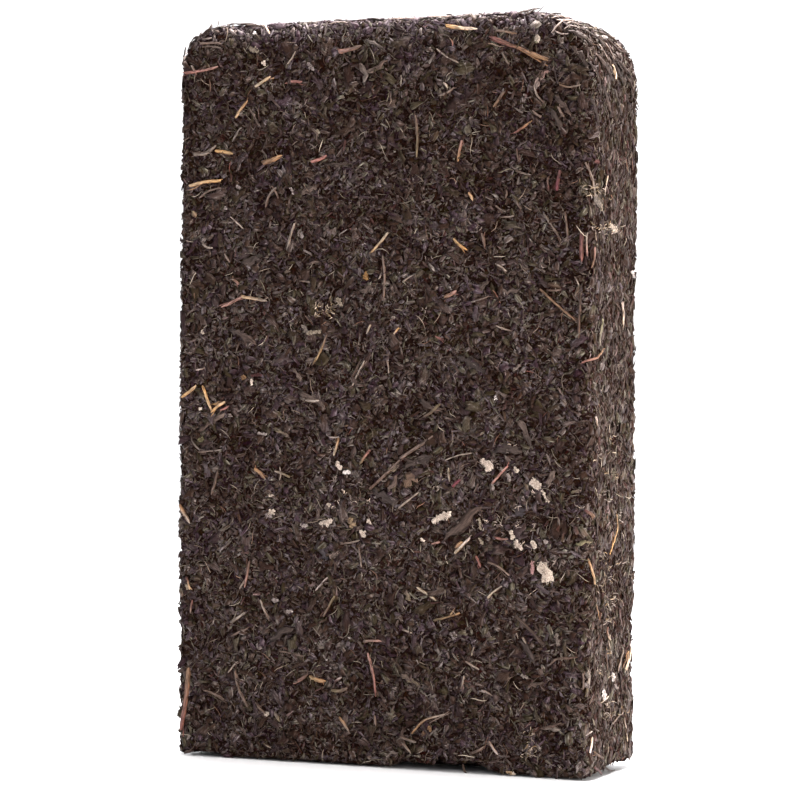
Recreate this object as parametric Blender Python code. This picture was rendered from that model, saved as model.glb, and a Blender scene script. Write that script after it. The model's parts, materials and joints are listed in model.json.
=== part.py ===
"""A brick of pressed dark tea, standing on one short end.

The brick is one solid: a block from a mould, with its corners rounded and its skin
roughened by the leaf, and the larger leaf chips and stems fused on where they show.
X is the brick's width, Y its thickness, with the broad front at -Y, and Z its height.
Lengths are in metres, and the origin is the middle of the foot.
"""

import math
import random

import bmesh
import bpy
from mathutils import Matrix, Vector, noise

# The pressed block, without the leaf that stands proud of it
WIDTH = 0.1415
THICKNESS = 0.0405
HEIGHT = 0.2343

# Rounding of the broad face's four corners, and of the edges that run round the broad faces
TOP_RIGHT_RADIUS = 0.0212
TOP_LEFT_RADIUS = 0.0132
BOTTOM_RIGHT_RADIUS = 0.0045
BOTTOM_LEFT_RADIUS = 0.0035
EDGE_RADIUS = 0.0034
FOOT_EDGE_RADIUS = 0.0022
SLOPE_STEP = 0.0001
PRESSING_ROUNDS = 4

# The skin: cells of the block's surface, and how far leaf of that size lifts or sinks it
CELL = 0.0067
CELL_DRIFT = 0.30 * CELL
FOOT_DRIFT = 0.15 * CELL
CRUMB_LIFT = 0.0006
SWELL_LIFT = 0.0007
SWELL_SPACING = 0.030
EDGE_CRUMBLE = (-0.0014, 0.0009)
FLAT_TOLERANCE = 0.0004

# Crumbled stretches of the front of the foot: (middle across X, half length, height, depth)
FRONT_FOOT_CHIPS = (
    (0.0225, 0.0185, 0.0050, 0.0140),
    (-0.0610, 0.0060, 0.0022, 0.0060),
)
FOOT_CHIP_END_STEEPNESS = 2.6
FOOT_CHIP_LEVEL = 0.72
FOOT_CHIP_RAGGEDNESS = 0.55
FOOT_CHIP_RAG_SPACING = 0.0038

# The right end of the foot, crumbled from a little behind the front back to the rear
SIDE_FOOT_LIFT = 0.0026
SIDE_FOOT_DEPTH = 0.0090
SIDE_FOOT_START = -0.0120
SIDE_FOOT_RISE = 0.0100

# Leaf chips that lie on the skin
CHIPS_PER_SQUARE_METRE = 1300
CHIP_LENGTH = (0.0065, 0.0125)
CHIP_SLENDERNESS = (0.38, 0.66)
CHIP_THICKNESS = 0.0013
CHIP_PROUD = 0.00065
CHIP_WAVE = 0.00022
CHIP_CUP = (-0.10, 0.05)
CHIP_TILT = math.radians(6)
CHIP_CORNERS = 5
CHIP_CORNER_DRIFT = 0.22
CHIP_CORNER_REACH = (0.82, 1.15)

# Stems pressed into the skin
STEMS_PER_SQUARE_METRE = 430
STEM_LENGTH = (0.008, 0.021)
STEM_RADIUS = (0.0006, 0.0010)
STEM_SIDES = 5
STEM_PROUD = 0.00045
STEM_DIP = 0.0003
STEM_TAPER = 0.25
STEM_BEND = 0.05

# The longest stems of the broad front: (x, z) of one end and (x, z) of the other
FRONT_STEMS = (
    ((0.036, 0.227), (0.057, 0.219)),
    ((0.023, 0.231), (0.033, 0.229)),
    ((-0.067, 0.220), (-0.057, 0.221)),
    ((-0.051, 0.204), (-0.046, 0.210)),
    ((-0.066, 0.183), (-0.053, 0.186)),
    ((0.027, 0.188), (0.029, 0.196)),
    ((-0.029, 0.171), (-0.032, 0.161)),
    ((0.003, 0.168), (-0.003, 0.160)),
    ((-0.055, 0.144), (-0.038, 0.146)),
    ((0.054, 0.149), (0.066, 0.140)),
    ((-0.018, 0.136), (-0.021, 0.127)),
    ((-0.062, 0.119), (-0.052, 0.113)),
    ((-0.002, 0.087), (0.006, 0.095)),
    ((0.014, 0.057), (0.021, 0.053)),
    ((0.019, 0.047), (0.029, 0.050)),
    ((-0.003, 0.036), (0.000, 0.022)),
    ((-0.066, 0.029), (-0.067, 0.014)),
    ((0.013, 0.012), (0.024, 0.018)),
)

# Tufts of leaf on the top edges: (middle, how many chips, half their spread along X and along Y)
TUFTS = (
    (Vector((0.050, -0.0165, HEIGHT)), 6, 0.007, 0.002),
    (Vector((-0.056, -0.0160, HEIGHT - 0.0015)), 4, 0.006, 0.002),
    (Vector((0.064, 0.0170, HEIGHT - 0.009)), 5, 0.004, 0.002),
    (Vector((0.070, 0.0140, HEIGHT - 0.026)), 5, 0.001, 0.005),
)
TUFT_CHIP_LENGTH = (0.0055, 0.0090)
TUFT_TILT = (math.radians(15), math.radians(38))
TUFT_SINK = 0.0004

# Where in its own cell of a face's grid a loose piece may fall
SPOT_RANGE = (0.15, 0.85)

LEAF_SEED = 11
SKIN_SEED = 5

LEAF_COLOUR = (0.052, 0.033, 0.026, 1.0)
LEAF_ROUGHNESS = 0.62


def corner_radius(x, z):
    """Radius of the broad face's corner that lies on this side of the middle."""
    if z > HEIGHT / 2:
        return TOP_RIGHT_RADIUS if x > 0 else TOP_LEFT_RADIUS
    return BOTTOM_RIGHT_RADIUS if x > 0 else BOTTOM_LEFT_RADIUS


def rounded_distance(across, along, radius):
    """Distance from a rounded corner, from how far a point is past the arc's centre each way."""
    outside = math.hypot(max(across, 0.0), max(along, 0.0))
    return min(max(across, along), 0.0) + outside - radius


def mould_distance(point):
    """Signed distance from the block as it left the mould, negative inside."""
    radius = corner_radius(point.x, point.z)
    across = abs(point.x) - WIDTH / 2 + radius
    along = abs(point.z - HEIGHT / 2) - HEIGHT / 2 + radius
    outline = rounded_distance(across, along, radius)
    edge = FOOT_EDGE_RADIUS if point.z < EDGE_RADIUS else EDGE_RADIUS
    return rounded_distance(outline + edge, abs(point.y) - THICKNESS / 2 + edge, edge)


def outward(point):
    """The mould's outward normal at a point, from the slope of the distance."""
    slope = Vector((0.0, 0.0, 0.0))
    for axis in range(3):
        along = Vector([SLOPE_STEP if axis == other else 0.0 for other in range(3)])
        slope[axis] = mould_distance(point + along) - mould_distance(point - along)
    return slope.normalized()


def on_mould(point):
    """The point of the mould's skin nearest to this one."""
    for _ in range(PRESSING_ROUNDS):
        point = point - outward(point) * mould_distance(point)
    return point


def swell(point):
    """The slow rise and fall of the pressed skin about the mould."""
    return SWELL_LIFT * noise.noise(point / SWELL_SPACING)


def on_skin(point):
    """The point of the swelling skin nearest to this one."""
    skin = on_mould(point)
    return skin + outward(skin) * swell(skin)


def skin_lift(point, rng):
    """How far the leaf lifts the skin off the mould at a point: crumbs on the slow swell."""
    crumbs = rng.uniform(-CRUMB_LIFT, CRUMB_LIFT)
    flatness = max(abs(value) for value in outward(point))
    crumble = (1.0 - flatness) * rng.uniform(*EDGE_CRUMBLE)
    return swell(point) + crumbs + crumble


def foot_lift(point):
    """How far the crumbled foot is raised above the floor at a point of the skin."""
    lift = 0.0
    for middle, half_length, height, depth in FRONT_FOOT_CHIPS:
        along = 1.0 - abs(point.x - middle) / half_length
        inward = 1.0 - (point.y + THICKNESS / 2) / depth
        if along > 0.0 and inward > 0.0:
            rag = FOOT_CHIP_RAGGEDNESS * noise.noise(point / FOOT_CHIP_RAG_SPACING)
            end = min(1.0, FOOT_CHIP_END_STEEPNESS * along)
            lift = max(lift, height * end * math.sqrt(inward) * (FOOT_CHIP_LEVEL + rag))
    inward = 1.0 - (WIDTH / 2 - point.x) / SIDE_FOOT_DEPTH
    behind = (point.y - SIDE_FOOT_START) / SIDE_FOOT_RISE
    if inward > 0.0 and behind > 0.0:
        lift = max(lift, SIDE_FOOT_LIFT * inward * min(1.0, behind))
    return lift


def cut_into_cells(bm):
    """Cuts the box's faces into even cells with planes across each of its three lengths."""
    lengths = (WIDTH, THICKNESS, HEIGHT)
    starts = (-WIDTH / 2, -THICKNESS / 2, 0.0)
    for axis, (length, start) in enumerate(zip(lengths, starts)):
        cells = round(length / CELL)
        normal = Vector([1.0 if axis == other else 0.0 for other in range(3)])
        for cut in range(1, cells):
            bmesh.ops.bisect_plane(
                bm,
                geom=bm.verts[:] + bm.edges[:] + bm.faces[:],
                plane_co=normal * (start + length * cut / cells),
                plane_no=normal,
            )


def roughened(corner, rng):
    """Where a corner of the gridded box goes: onto the mould, then off it by its crumb of leaf."""
    reach = FOOT_DRIFT if corner.z < FLAT_TOLERANCE else CELL_DRIFT
    drift = Vector([rng.uniform(-reach, reach) for _ in range(3)])
    skin = on_mould(corner + drift)
    lift = skin_lift(skin, rng)
    stands_on_floor = skin.z < FLAT_TOLERANCE
    place = skin.copy() if stands_on_floor else skin + outward(skin) * lift
    if place.z < CELL:
        place.z = max(place.z, foot_lift(skin))
    if place.z < (FLAT_TOLERANCE if stands_on_floor else 0.0):
        place.z = 0.0
    return place


def pressed_block():
    """The brick without its loose pieces: a gridded box pressed onto the mould, then roughened."""
    rng = random.Random(SKIN_SEED)
    bm = bmesh.new()
    place = Matrix.Translation((0.0, 0.0, HEIGHT / 2))
    size = Matrix.Diagonal((WIDTH, THICKNESS, HEIGHT, 1.0))
    bmesh.ops.create_cube(bm, size=1.0, matrix=place @ size)
    cut_into_cells(bm)
    for vert in bm.verts:
        vert.co = roughened(vert.co, rng)
    bmesh.ops.triangulate(bm, faces=bm.faces[:], quad_method="SHORT_EDGE")
    mesh = bpy.data.meshes.new("tea_brick")
    bm.to_mesh(mesh)
    bm.free()
    brick = bpy.data.objects.new("tea_brick", mesh)
    bpy.context.scene.collection.objects.link(brick)
    return brick


def closed_piece(name, rings, collection):
    """A closed mesh from rings of points: each ring joins the next, and the end rings are filled."""
    bm = bmesh.new()
    loops = [[bm.verts.new(point) for point in ring] for ring in rings]
    count = len(loops[0])
    for lower, upper in zip(loops, loops[1:]):
        for corner in range(count):
            after = (corner + 1) % count
            bm.faces.new((lower[corner], lower[after], upper[after], upper[corner]))
    first, last = loops[0], loops[-1]
    for corner in range(1, count - 1):
        bm.faces.new((first[0], first[corner + 1], first[corner]))
        bm.faces.new((last[0], last[corner], last[corner + 1]))
    bmesh.ops.triangulate(bm, faces=bm.faces[:])
    bmesh.ops.recalc_face_normals(bm, faces=bm.faces[:])
    mesh = bpy.data.meshes.new(name)
    bm.to_mesh(mesh)
    bm.free()
    piece = bpy.data.objects.new(name, mesh)
    collection.objects.link(piece)


def leaf_chip(rng, point, lengths, tilt, collection):
    """One thin, wavy chip of leaf lying at a point of the skin, lifted at one end by the tilt."""
    half_length = rng.uniform(*lengths) / 2
    half_width = half_length * rng.uniform(*CHIP_SLENDERNESS)
    cup = rng.uniform(*CHIP_CUP) * half_length
    spin = Matrix.Rotation(rng.uniform(0.0, 2 * math.pi), 4, "Z")
    lay = outward(point).to_track_quat("Z", "Y").to_matrix().to_4x4()
    place = Matrix.Translation(point) @ lay @ spin @ Matrix.Rotation(tilt, 4, "Y")
    top = []
    for corner in range(CHIP_CORNERS):
        drift = rng.uniform(-CHIP_CORNER_DRIFT, CHIP_CORNER_DRIFT)
        turn = 2 * math.pi * (corner + drift) / CHIP_CORNERS
        reach = rng.uniform(*CHIP_CORNER_REACH)
        x = half_length * reach * math.cos(turn)
        y = half_width * reach * math.sin(turn)
        wave = cup * (x / half_length) ** 2 + rng.uniform(-CHIP_WAVE, CHIP_WAVE)
        top.append(Vector((x, y, CHIP_PROUD + wave)))
    under = [corner - Vector((0.0, 0.0, CHIP_THICKNESS)) for corner in top]
    rings = [[place @ corner for corner in ring] for ring in (under, top)]
    closed_piece("leaf_chip", rings, collection)


def stem(rng, start, end, collection):
    """One slightly bent stem between two points of the skin, part sunk in it."""
    middle = on_skin((start + end) / 2)
    normal = outward(middle)
    sideways = normal.cross(end - start).normalized()
    radius = rng.uniform(*STEM_RADIUS)
    bend = rng.uniform(-STEM_BEND, STEM_BEND) * (end - start).length
    rings = []
    for centre, outer in ((start, 1.0), (middle + sideways * bend, 0.0), (end, 1.0)):
        thick = radius * (1.0 - STEM_TAPER * outer)
        centre = centre + normal * (STEM_PROUD - STEM_DIP * outer)
        ring = []
        for corner in range(STEM_SIDES):
            turn = 2 * math.pi * corner / STEM_SIDES
            ring.append(centre + (sideways * math.cos(turn) + normal * math.sin(turn)) * thick)
        rings.append(ring)
    closed_piece("stem", rings, collection)


def faces_of_block():
    """The block's faces above its foot, front first: a corner, and the two edges from it."""
    right = Vector((WIDTH, 0.0, 0.0))
    back = Vector((0.0, THICKNESS, 0.0))
    up = Vector((0.0, 0.0, HEIGHT))
    corner = Vector((-WIDTH / 2, -THICKNESS / 2, 0.0))
    return (
        (corner, right, up),
        (corner + back, right, up),
        (corner, back, up),
        (corner + right, back, up),
        (corner + up, right, back),
    )


def spots(rng, faces, per_square_metre):
    """Evenly spread spots on the skin: one in each cell of a grid over each face."""
    spacing = 1.0 / math.sqrt(per_square_metre)
    found = []
    for start, across, along in faces:
        columns = round(across.length / spacing)
        rows = round(along.length / spacing)
        for column in range(columns):
            for row in range(rows):
                u = (column + rng.uniform(*SPOT_RANGE)) / columns
                v = (row + rng.uniform(*SPOT_RANGE)) / rows
                found.append(on_skin(start + across * u + along * v))
    return found


def clear_of_foot(point, reach):
    """True where a piece of this reach stays above the floor and off the crumbled foot."""
    return point.z > reach + foot_lift(point) + FOOT_EDGE_RADIUS


def stem_ends(rng, point):
    """The two ends of a stem that lies across a point of the skin in any direction."""
    half_length = rng.uniform(*STEM_LENGTH) / 2
    spin = Matrix.Rotation(rng.uniform(0.0, math.pi), 3, outward(point))
    reach = spin @ outward(point).orthogonal().normalized() * half_length
    return on_skin(point - reach), on_skin(point + reach)


def tuft(rng, middle, count, along_x, along_y, collection):
    """Chips of leaf that stand out of a stretch of an edge."""
    for _ in range(count):
        offset = Vector((rng.uniform(-along_x, along_x), rng.uniform(-along_y, along_y), 0.0))
        root = on_mould(middle + offset)
        root = root - outward(root) * TUFT_SINK
        leaf_chip(rng, root, TUFT_CHIP_LENGTH, rng.uniform(*TUFT_TILT), collection)


def loose_pieces():
    """Every chip, stem and tuft that is fused to the block, in a collection of their own."""
    rng = random.Random(LEAF_SEED)
    collection = bpy.data.collections.new("loose_pieces")
    bpy.context.scene.collection.children.link(collection)
    faces = faces_of_block()
    for point in spots(rng, faces, CHIPS_PER_SQUARE_METRE):
        if clear_of_foot(point, CHIP_LENGTH[1] / 2):
            leaf_chip(rng, point, CHIP_LENGTH, rng.uniform(-CHIP_TILT, CHIP_TILT), collection)
    for (start_x, start_z), (end_x, end_z) in FRONT_STEMS:
        start = on_skin(Vector((start_x, -THICKNESS / 2, start_z)))
        end = on_skin(Vector((end_x, -THICKNESS / 2, end_z)))
        stem(rng, start, end, collection)
    for point in spots(rng, faces[1:], STEMS_PER_SQUARE_METRE):
        if clear_of_foot(point, STEM_LENGTH[1] / 2):
            stem(rng, *stem_ends(rng, point), collection)
    for middle, count, along_x, along_y in TUFTS:
        tuft(rng, middle, count, along_x, along_y, collection)
    return collection


def fuse(brick, collection):
    """Joins the collection's pieces to the block as one solid and removes them."""
    union = brick.modifiers.new("fuse_loose_pieces", "BOOLEAN")
    union.operation = "UNION"
    union.operand_type = "COLLECTION"
    union.collection = collection
    union.solver = "EXACT"
    graph = bpy.context.evaluated_depsgraph_get()
    fused = bpy.data.meshes.new_from_object(brick.evaluated_get(graph))
    brick.modifiers.clear()
    brick.data = fused
    for piece in list(collection.objects):
        bpy.data.objects.remove(piece)
    bpy.data.collections.remove(collection)


def body_around(seed, unseen):
    """The corners joined by edges to the seed, taken out of the unseen ones."""
    body = [seed]
    for vert in body:
        for edge in vert.link_edges:
            other = edge.other_vert(vert)
            if other in unseen:
                unseen.remove(other)
                body.append(other)
    return body


def keep_one_body(brick):
    """Drops any scrap that the union left apart from the block."""
    bm = bmesh.new()
    bm.from_mesh(brick.data)
    unseen = set(bm.verts)
    bodies = []
    while unseen:
        bodies.append(body_around(unseen.pop(), unseen))
    bodies.sort(key=len)
    for scrap in bodies[:-1]:
        bmesh.ops.delete(bm, geom=scrap, context="VERTS")
    bm.to_mesh(brick.data)
    bm.free()


def leaf_material():
    """Dark, dull, slightly brown pressed leaf."""
    material = bpy.data.materials.new("pressed_leaf")
    material.use_nodes = True
    shader = material.node_tree.nodes["Principled BSDF"]
    shader.inputs["Base Color"].default_value = LEAF_COLOUR
    shader.inputs["Roughness"].default_value = LEAF_ROUGHNESS
    shader.inputs["Metallic"].default_value = 0.0
    return material


def main():
    for obj in list(bpy.data.objects):
        bpy.data.objects.remove(obj)
    brick = pressed_block()
    fuse(brick, loose_pieces())
    keep_one_body(brick)
    brick.data.materials.clear()
    brick.data.materials.append(leaf_material())


main()
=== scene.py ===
"""A brick of pressed dark tea: crushed leaf with chips, shreds, stems and pale flecks pressed into it.

Lengths are in metres unless a name says pixels. X is the brick's width, Y its thickness with the
shown broad face at -Y, and Z its height.
"""

import json
import math
import random

import bmesh
import bpy
import numpy as np
from mathutils import Matrix, Vector, noise

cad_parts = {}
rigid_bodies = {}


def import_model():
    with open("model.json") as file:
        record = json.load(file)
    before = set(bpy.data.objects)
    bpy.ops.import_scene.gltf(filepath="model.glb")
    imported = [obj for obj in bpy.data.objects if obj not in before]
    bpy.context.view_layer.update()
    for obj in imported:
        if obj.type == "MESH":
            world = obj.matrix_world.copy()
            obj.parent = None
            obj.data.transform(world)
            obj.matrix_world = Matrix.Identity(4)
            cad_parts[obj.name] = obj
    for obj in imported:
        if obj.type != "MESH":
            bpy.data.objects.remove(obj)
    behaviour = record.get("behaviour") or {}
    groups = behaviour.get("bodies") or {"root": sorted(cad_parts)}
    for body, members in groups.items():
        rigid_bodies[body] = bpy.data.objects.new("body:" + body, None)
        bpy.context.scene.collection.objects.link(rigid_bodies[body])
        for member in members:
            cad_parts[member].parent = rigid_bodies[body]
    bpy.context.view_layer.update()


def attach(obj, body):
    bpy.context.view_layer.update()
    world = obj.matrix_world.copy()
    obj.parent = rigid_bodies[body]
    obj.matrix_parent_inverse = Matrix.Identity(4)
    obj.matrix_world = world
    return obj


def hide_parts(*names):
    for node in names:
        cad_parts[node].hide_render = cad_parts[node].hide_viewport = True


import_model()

# ---------------------------------------------------------------- sizes of the pressed block

WIDTH = 0.1424
THICKNESS = 0.0405
HEIGHT = 0.2343
TOP_RIGHT_RADIUS = 0.0212
TOP_LEFT_RADIUS = 0.0143
BOTTOM_RIGHT_RADIUS = 0.0045
BOTTOM_LEFT_RADIUS = 0.0035
EDGE_RADIUS = 0.0034
FOOT_EDGE_RADIUS = 0.0022

BED_CELL = 0.00101
BED_DRIFT = 0.35
BED_SINK = 0.0004
BED_RELIEF = 0.0005
BED_RELIEF_SPACING = 0.0019
SWELL_LIFT = 0.0007
SWELL_SPACING = 0.030

# The crumbled foot: middle, half length, height and depth of each stretch along the front.
FRONT_FOOT_CHIPS = (
    (0.0225, 0.0185, 0.0050, 0.0140),
    (-0.0610, 0.0060, 0.0022, 0.0060),
)
SIDE_FOOT_LIFT = 0.0026
SIDE_FOOT_DEPTH = 0.0090
SIDE_FOOT_START = -0.0120
SIDE_FOOT_RISE = 0.0100
SIDE_FOOT_RAG = 0.4
FOOT_RAG = 0.72
FOOT_RAG_SWING = 0.75
FOOT_RAG_SPACING = 0.0030
FOOT_END_SLOPE = 2.6
FOOT_REACH = 1.3
FOOT_ZONE = 0.012
FLOOR_GAP = 0.0005
LOWEST = 0.00002

# ---------------------------------------------------------------- the photograph's camera

PHOTO_PIXELS = 800
CAMERA_AZIMUTH = math.radians(24.2)
CAMERA_ELEVATION = math.radians(0.55)
CAMERA_ROLL = math.radians(0.37)
CAMERA_DISTANCE = 0.975
CAMERA_FOCAL_PIXELS = 3061.0
CAMERA_TARGET = Vector((-0.0016, 0.0, 0.1148))
PIXELS_PER_METRE = CAMERA_FOCAL_PIXELS / CAMERA_DISTANCE


def srgb(red, green, blue):
    """A colour given as 0 to 255 sRGB numbers, as the linear colour that shaders take."""

    def linear(value):
        value /= 255.0
        return value / 12.92 if value <= 0.04045 else ((value + 0.055) / 1.055) ** 2.4

    return (linear(red), linear(green), linear(blue), 1.0)


def show(name, data):
    """A new object of this mesh, light or camera, at the origin."""
    shown = bpy.data.objects.new(name, data)
    bpy.context.scene.collection.objects.link(shown)
    return shown


def camera_axes():
    """The camera's right, up and backward directions."""
    level = math.cos(CAMERA_ELEVATION)
    backward = Vector((
        math.sin(CAMERA_AZIMUTH) * level,
        -math.cos(CAMERA_AZIMUTH) * level,
        math.sin(CAMERA_ELEVATION),
    ))
    right = Vector((math.cos(CAMERA_AZIMUTH), math.sin(CAMERA_AZIMUTH), 0.0))
    turn = Matrix.Rotation(CAMERA_ROLL, 3, backward)
    return turn @ right, turn @ backward.cross(right), backward


def place_camera():
    """The camera that sees the brick as the photograph does."""
    axes = camera_axes()
    data = bpy.data.cameras.new("photo_camera")
    data.sensor_width = 36.0
    data.lens = data.sensor_width * CAMERA_FOCAL_PIXELS / PHOTO_PIXELS
    data.clip_start = 0.01
    camera = show("photo_camera", data)
    place = Matrix.Translation(CAMERA_TARGET + axes[2] * CAMERA_DISTANCE)
    camera.matrix_world = place @ Matrix(axes).transposed().to_4x4()
    bpy.context.scene.camera = camera


# ---------------------------------------------------------------- the mould

NORMAL_STEP = 0.0001
MOULD_PASSES = 4


def rounded_distance(across, along, radius):
    """Distance from a rounded corner, from how far points are past the arc's centre each way."""
    outside = np.hypot(np.maximum(across, 0.0), np.maximum(along, 0.0))
    return np.minimum(np.maximum(across, along), 0.0) + outside - radius


def mould_distance(points):
    """Signed distance of each point from the block as it left the mould, negative inside."""
    x, y, z = points.T
    top = np.where(x > 0, TOP_RIGHT_RADIUS, TOP_LEFT_RADIUS)
    bottom = np.where(x > 0, BOTTOM_RIGHT_RADIUS, BOTTOM_LEFT_RADIUS)
    radius = np.where(z > HEIGHT / 2, top, bottom)
    across = np.abs(x) - WIDTH / 2 + radius
    along = np.abs(z - HEIGHT / 2) - HEIGHT / 2 + radius
    edge = np.where(z < EDGE_RADIUS, FOOT_EDGE_RADIUS, EDGE_RADIUS)
    outline = rounded_distance(across, along, radius) + edge
    return rounded_distance(outline, np.abs(y) - THICKNESS / 2 + edge, edge)


def outward(points):
    """The mould's outward normal at each point."""
    steps = np.eye(3) * NORMAL_STEP
    slope = np.stack([mould_distance(points + step) - mould_distance(points - step) for step in steps], 1)
    return slope / np.maximum(np.linalg.norm(slope, axis=1, keepdims=True), 1e-12)


def onto_mould(points):
    """The points of the mould's skin nearest to these."""
    for _ in range(MOULD_PASSES):
        points = points - outward(points) * mould_distance(points)[:, None]
    return points


def noise_at(points, spacing, shift=0.0):
    """Smooth noise of this spacing at each point."""
    offset = Vector((shift, shift, shift))
    return np.array([noise.noise(Vector(point) / spacing + offset) for point in points])


def foot_lift(points):
    """How far the crumbled foot is raised above the floor at each point."""
    x, y, _ = points.T
    lift = np.zeros(len(points))
    rag = FOOT_RAG + FOOT_RAG_SWING * noise_at(points, FOOT_RAG_SPACING)
    for middle, half_length, height, depth in FRONT_FOOT_CHIPS:
        along = np.clip(1.0 - np.abs(x - middle) / half_length, 0.0, 1.0)
        inward = np.clip(1.0 - (y + THICKNESS / 2) / depth, 0.0, FOOT_REACH)
        lift = np.maximum(lift, height * np.minimum(1.0, FOOT_END_SLOPE * along) * np.sqrt(inward) * rag)
    inward = np.clip(1.0 - (WIDTH / 2 - x) / SIDE_FOOT_DEPTH, 0.0, FOOT_REACH)
    behind = np.clip((y - SIDE_FOOT_START) / SIDE_FOOT_RISE, 0.0, 1.0)
    return np.maximum(lift, SIDE_FOOT_LIFT * inward * behind * (SIDE_FOOT_RAG + rag))


def clear_foot(places, share, gap):
    """Raises the lowest places to this share of the crumbled foot's height, and a gap more."""
    low = places[:, 2] < FOOT_ZONE
    places[low, 2] = np.maximum(places[low, 2], foot_lift(places[low]) * share + gap)


# ---------------------------------------------------------------- mesh helpers


def places_of(mesh):
    """The mesh's vertices, as rows of x, y and z."""
    places = np.empty(len(mesh.vertices) * 3)
    mesh.vertices.foreach_get("co", places)
    return places.reshape(-1, 3)


def move_to(mesh, places):
    """Puts the mesh's vertices at these places."""
    mesh.vertices.foreach_set("co", places.ravel())
    mesh.update()


def cut_in_triangles(bm, **way):
    """Splits every face into triangles and turns them all outwards."""
    bmesh.ops.triangulate(bm, faces=bm.faces[:], **way)
    bmesh.ops.recalc_face_normals(bm, faces=bm.faces[:])


def finished(bm, mesh):
    """The mesh, made from what was built."""
    bm.to_mesh(mesh)
    bm.free()
    return mesh


# ---------------------------------------------------------------- the bed of crushed leaf


def gridded_box(cell):
    """A box of the block's size, cut into even cells."""
    bm = bmesh.new()
    sides = (WIDTH, THICKNESS, HEIGHT)
    place = Matrix.Translation((0.0, 0.0, HEIGHT / 2))
    bmesh.ops.create_cube(bm, size=1.0, matrix=place @ Matrix.Diagonal((*sides, 1.0)))
    starts = (-WIDTH / 2, -THICKNESS / 2, 0.0)
    for axis, (length, start) in enumerate(zip(sides, starts)):
        cells = round(length / cell)
        normal = Vector([1.0 if axis == other else 0.0 for other in range(3)])
        for cut in range(1, cells):
            bmesh.ops.bisect_plane(
                bm,
                geom=bm.verts[:] + bm.edges[:] + bm.faces[:],
                plane_co=normal * (start + length * cut / cells),
                plane_no=normal,
            )
    return bm


def bed_of_leaf():
    """The brick's body: the mould's form with relief of crushed leaf, which shows between the chips."""
    rng = np.random.default_rng(3)
    mesh = finished(gridded_box(BED_CELL), bpy.data.meshes.new("leaf_bed"))
    places = places_of(mesh)
    drift = rng.uniform(-BED_DRIFT, BED_DRIFT, places.shape) * BED_CELL
    skin = onto_mould(places + drift)
    lift = SWELL_LIFT * noise_at(skin, SWELL_SPACING)
    lift += BED_RELIEF * noise_at(skin, BED_RELIEF_SPACING, 7.0)
    lift += rng.uniform(-0.5, 0.5, len(skin)) * BED_RELIEF
    skin = skin + outward(skin) * (lift - BED_SINK)[:, None]
    clear_foot(skin, 1.0, FLOOR_GAP)
    move_to(mesh, skin)
    bm = bmesh.new()
    bm.from_mesh(mesh)
    cut_in_triangles(bm, quad_method="SHORT_EDGE")
    return show("leaf_bed", finished(bm, mesh))


# ---------------------------------------------------------------- shapes of single chips

CORNER_STRAY = 0.28
SQUARENESS = 0.8
HUB_STRAY = 0.12
RIM_WAVE = 0.2
RING_WAVE = 0.25
CRUMB_DEPTH = 0.5
CRUMB_UNDER = -0.75
CRUMB_RAISE = 0.25
WISP_STATIONS = 5
WISP_HALF_WIDTH = 0.055
WISP_BOW = 1.6
WISP_SWAY = 2.4
WISP_TAPER = 2.6


def new_shape():
    """An empty shape, and the layer that keeps where each vertex lies along the grain."""
    bm = bmesh.new()
    return bm, bm.verts.layers.float_vector.new("grain")


def flake_shape(rng, corners, thickness, ragged, curl, rings=0):
    """A thin wavy flake, one unit long and wide: both faces are split alike and meet at the torn rim."""
    bm, grain = new_shape()
    trough = rng.uniform(-0.3, 1.0) * curl
    bend = rng.uniform(-1.0, 1.0) * curl
    twist = rng.uniform(-1.0, 1.0) * curl

    def place(x, y, rise):
        wave = bend * (4 * x * x - 0.5) + twist * 4 * x * y - trough * (4 * y * y - 0.4)
        vert = bm.verts.new((x, y, wave + rise))
        vert[grain] = (x, y, rise)
        return vert

    outline = []
    for corner in range(corners):
        angle = math.tau * (corner + 0.5 + rng.uniform(-CORNER_STRAY, CORNER_STRAY)) / corners
        x, y = math.cos(angle), math.sin(angle)
        reach = 0.5 * rng.uniform(1.0 - ragged, 1.0 + ragged / 3) / max(abs(x), abs(y)) ** SQUARENESS
        outline.append((x * reach, y * reach))
    rim = [place(x, y, rng.uniform(-RIM_WAVE, RIM_WAVE) * curl) for x, y in outline]
    hub_x, hub_y = (rng.uniform(-HUB_STRAY, HUB_STRAY) for _ in range(2))
    waves = [[rng.uniform(-RING_WAVE, RING_WAVE) * curl for _ in outline] for _ in range(rings)]
    for side in (1, -1):
        around = rim
        for ring in range(rings):
            share = 1.0 - (ring + 1) / (rings + 1)
            rise = side * thickness / 2 * (1.0 - share * share)
            inner = [
                place(hub_x + (x - hub_x) * share, hub_y + (y - hub_y) * share, rise + wave)
                for (x, y), wave in zip(outline, waves[ring])
            ]
            for corner in range(corners):
                after = (corner + 1) % corners
                bm.faces.new((around[corner], around[after], inner[after], inner[corner])[::side])
            around = inner
        hub = place(hub_x, hub_y, side * thickness / 2)
        for corner in range(corners):
            bm.faces.new((around[corner], around[(corner + 1) % corners], hub)[::side])
    cut_in_triangles(bm)
    return bm


def crumb_shape(rng):
    """A crumb of crushed leaf, about one unit across, with eight facets."""
    bm, grain = new_shape()
    bmesh.ops.create_cone(bm, segments=4, radius1=0.5, radius2=0.0, depth=CRUMB_DEPTH, cap_ends=False)
    base = [vert for vert in bm.verts if vert.co.z < 0.0]
    base.sort(key=lambda vert: math.atan2(vert.co.y, vert.co.x))
    under = bm.verts.new((0.0, 0.0, CRUMB_UNDER))
    for corner in range(4):
        bm.faces.new((base[corner], under, base[(corner + 1) % 4]))
    for vert in bm.verts:
        vert.co.z += CRUMB_RAISE
        vert.co *= rng.uniform(0.7, 1.3)
        vert[grain] = vert.co
    bmesh.ops.recalc_face_normals(bm, faces=bm.faces[:])
    return bm


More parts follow.
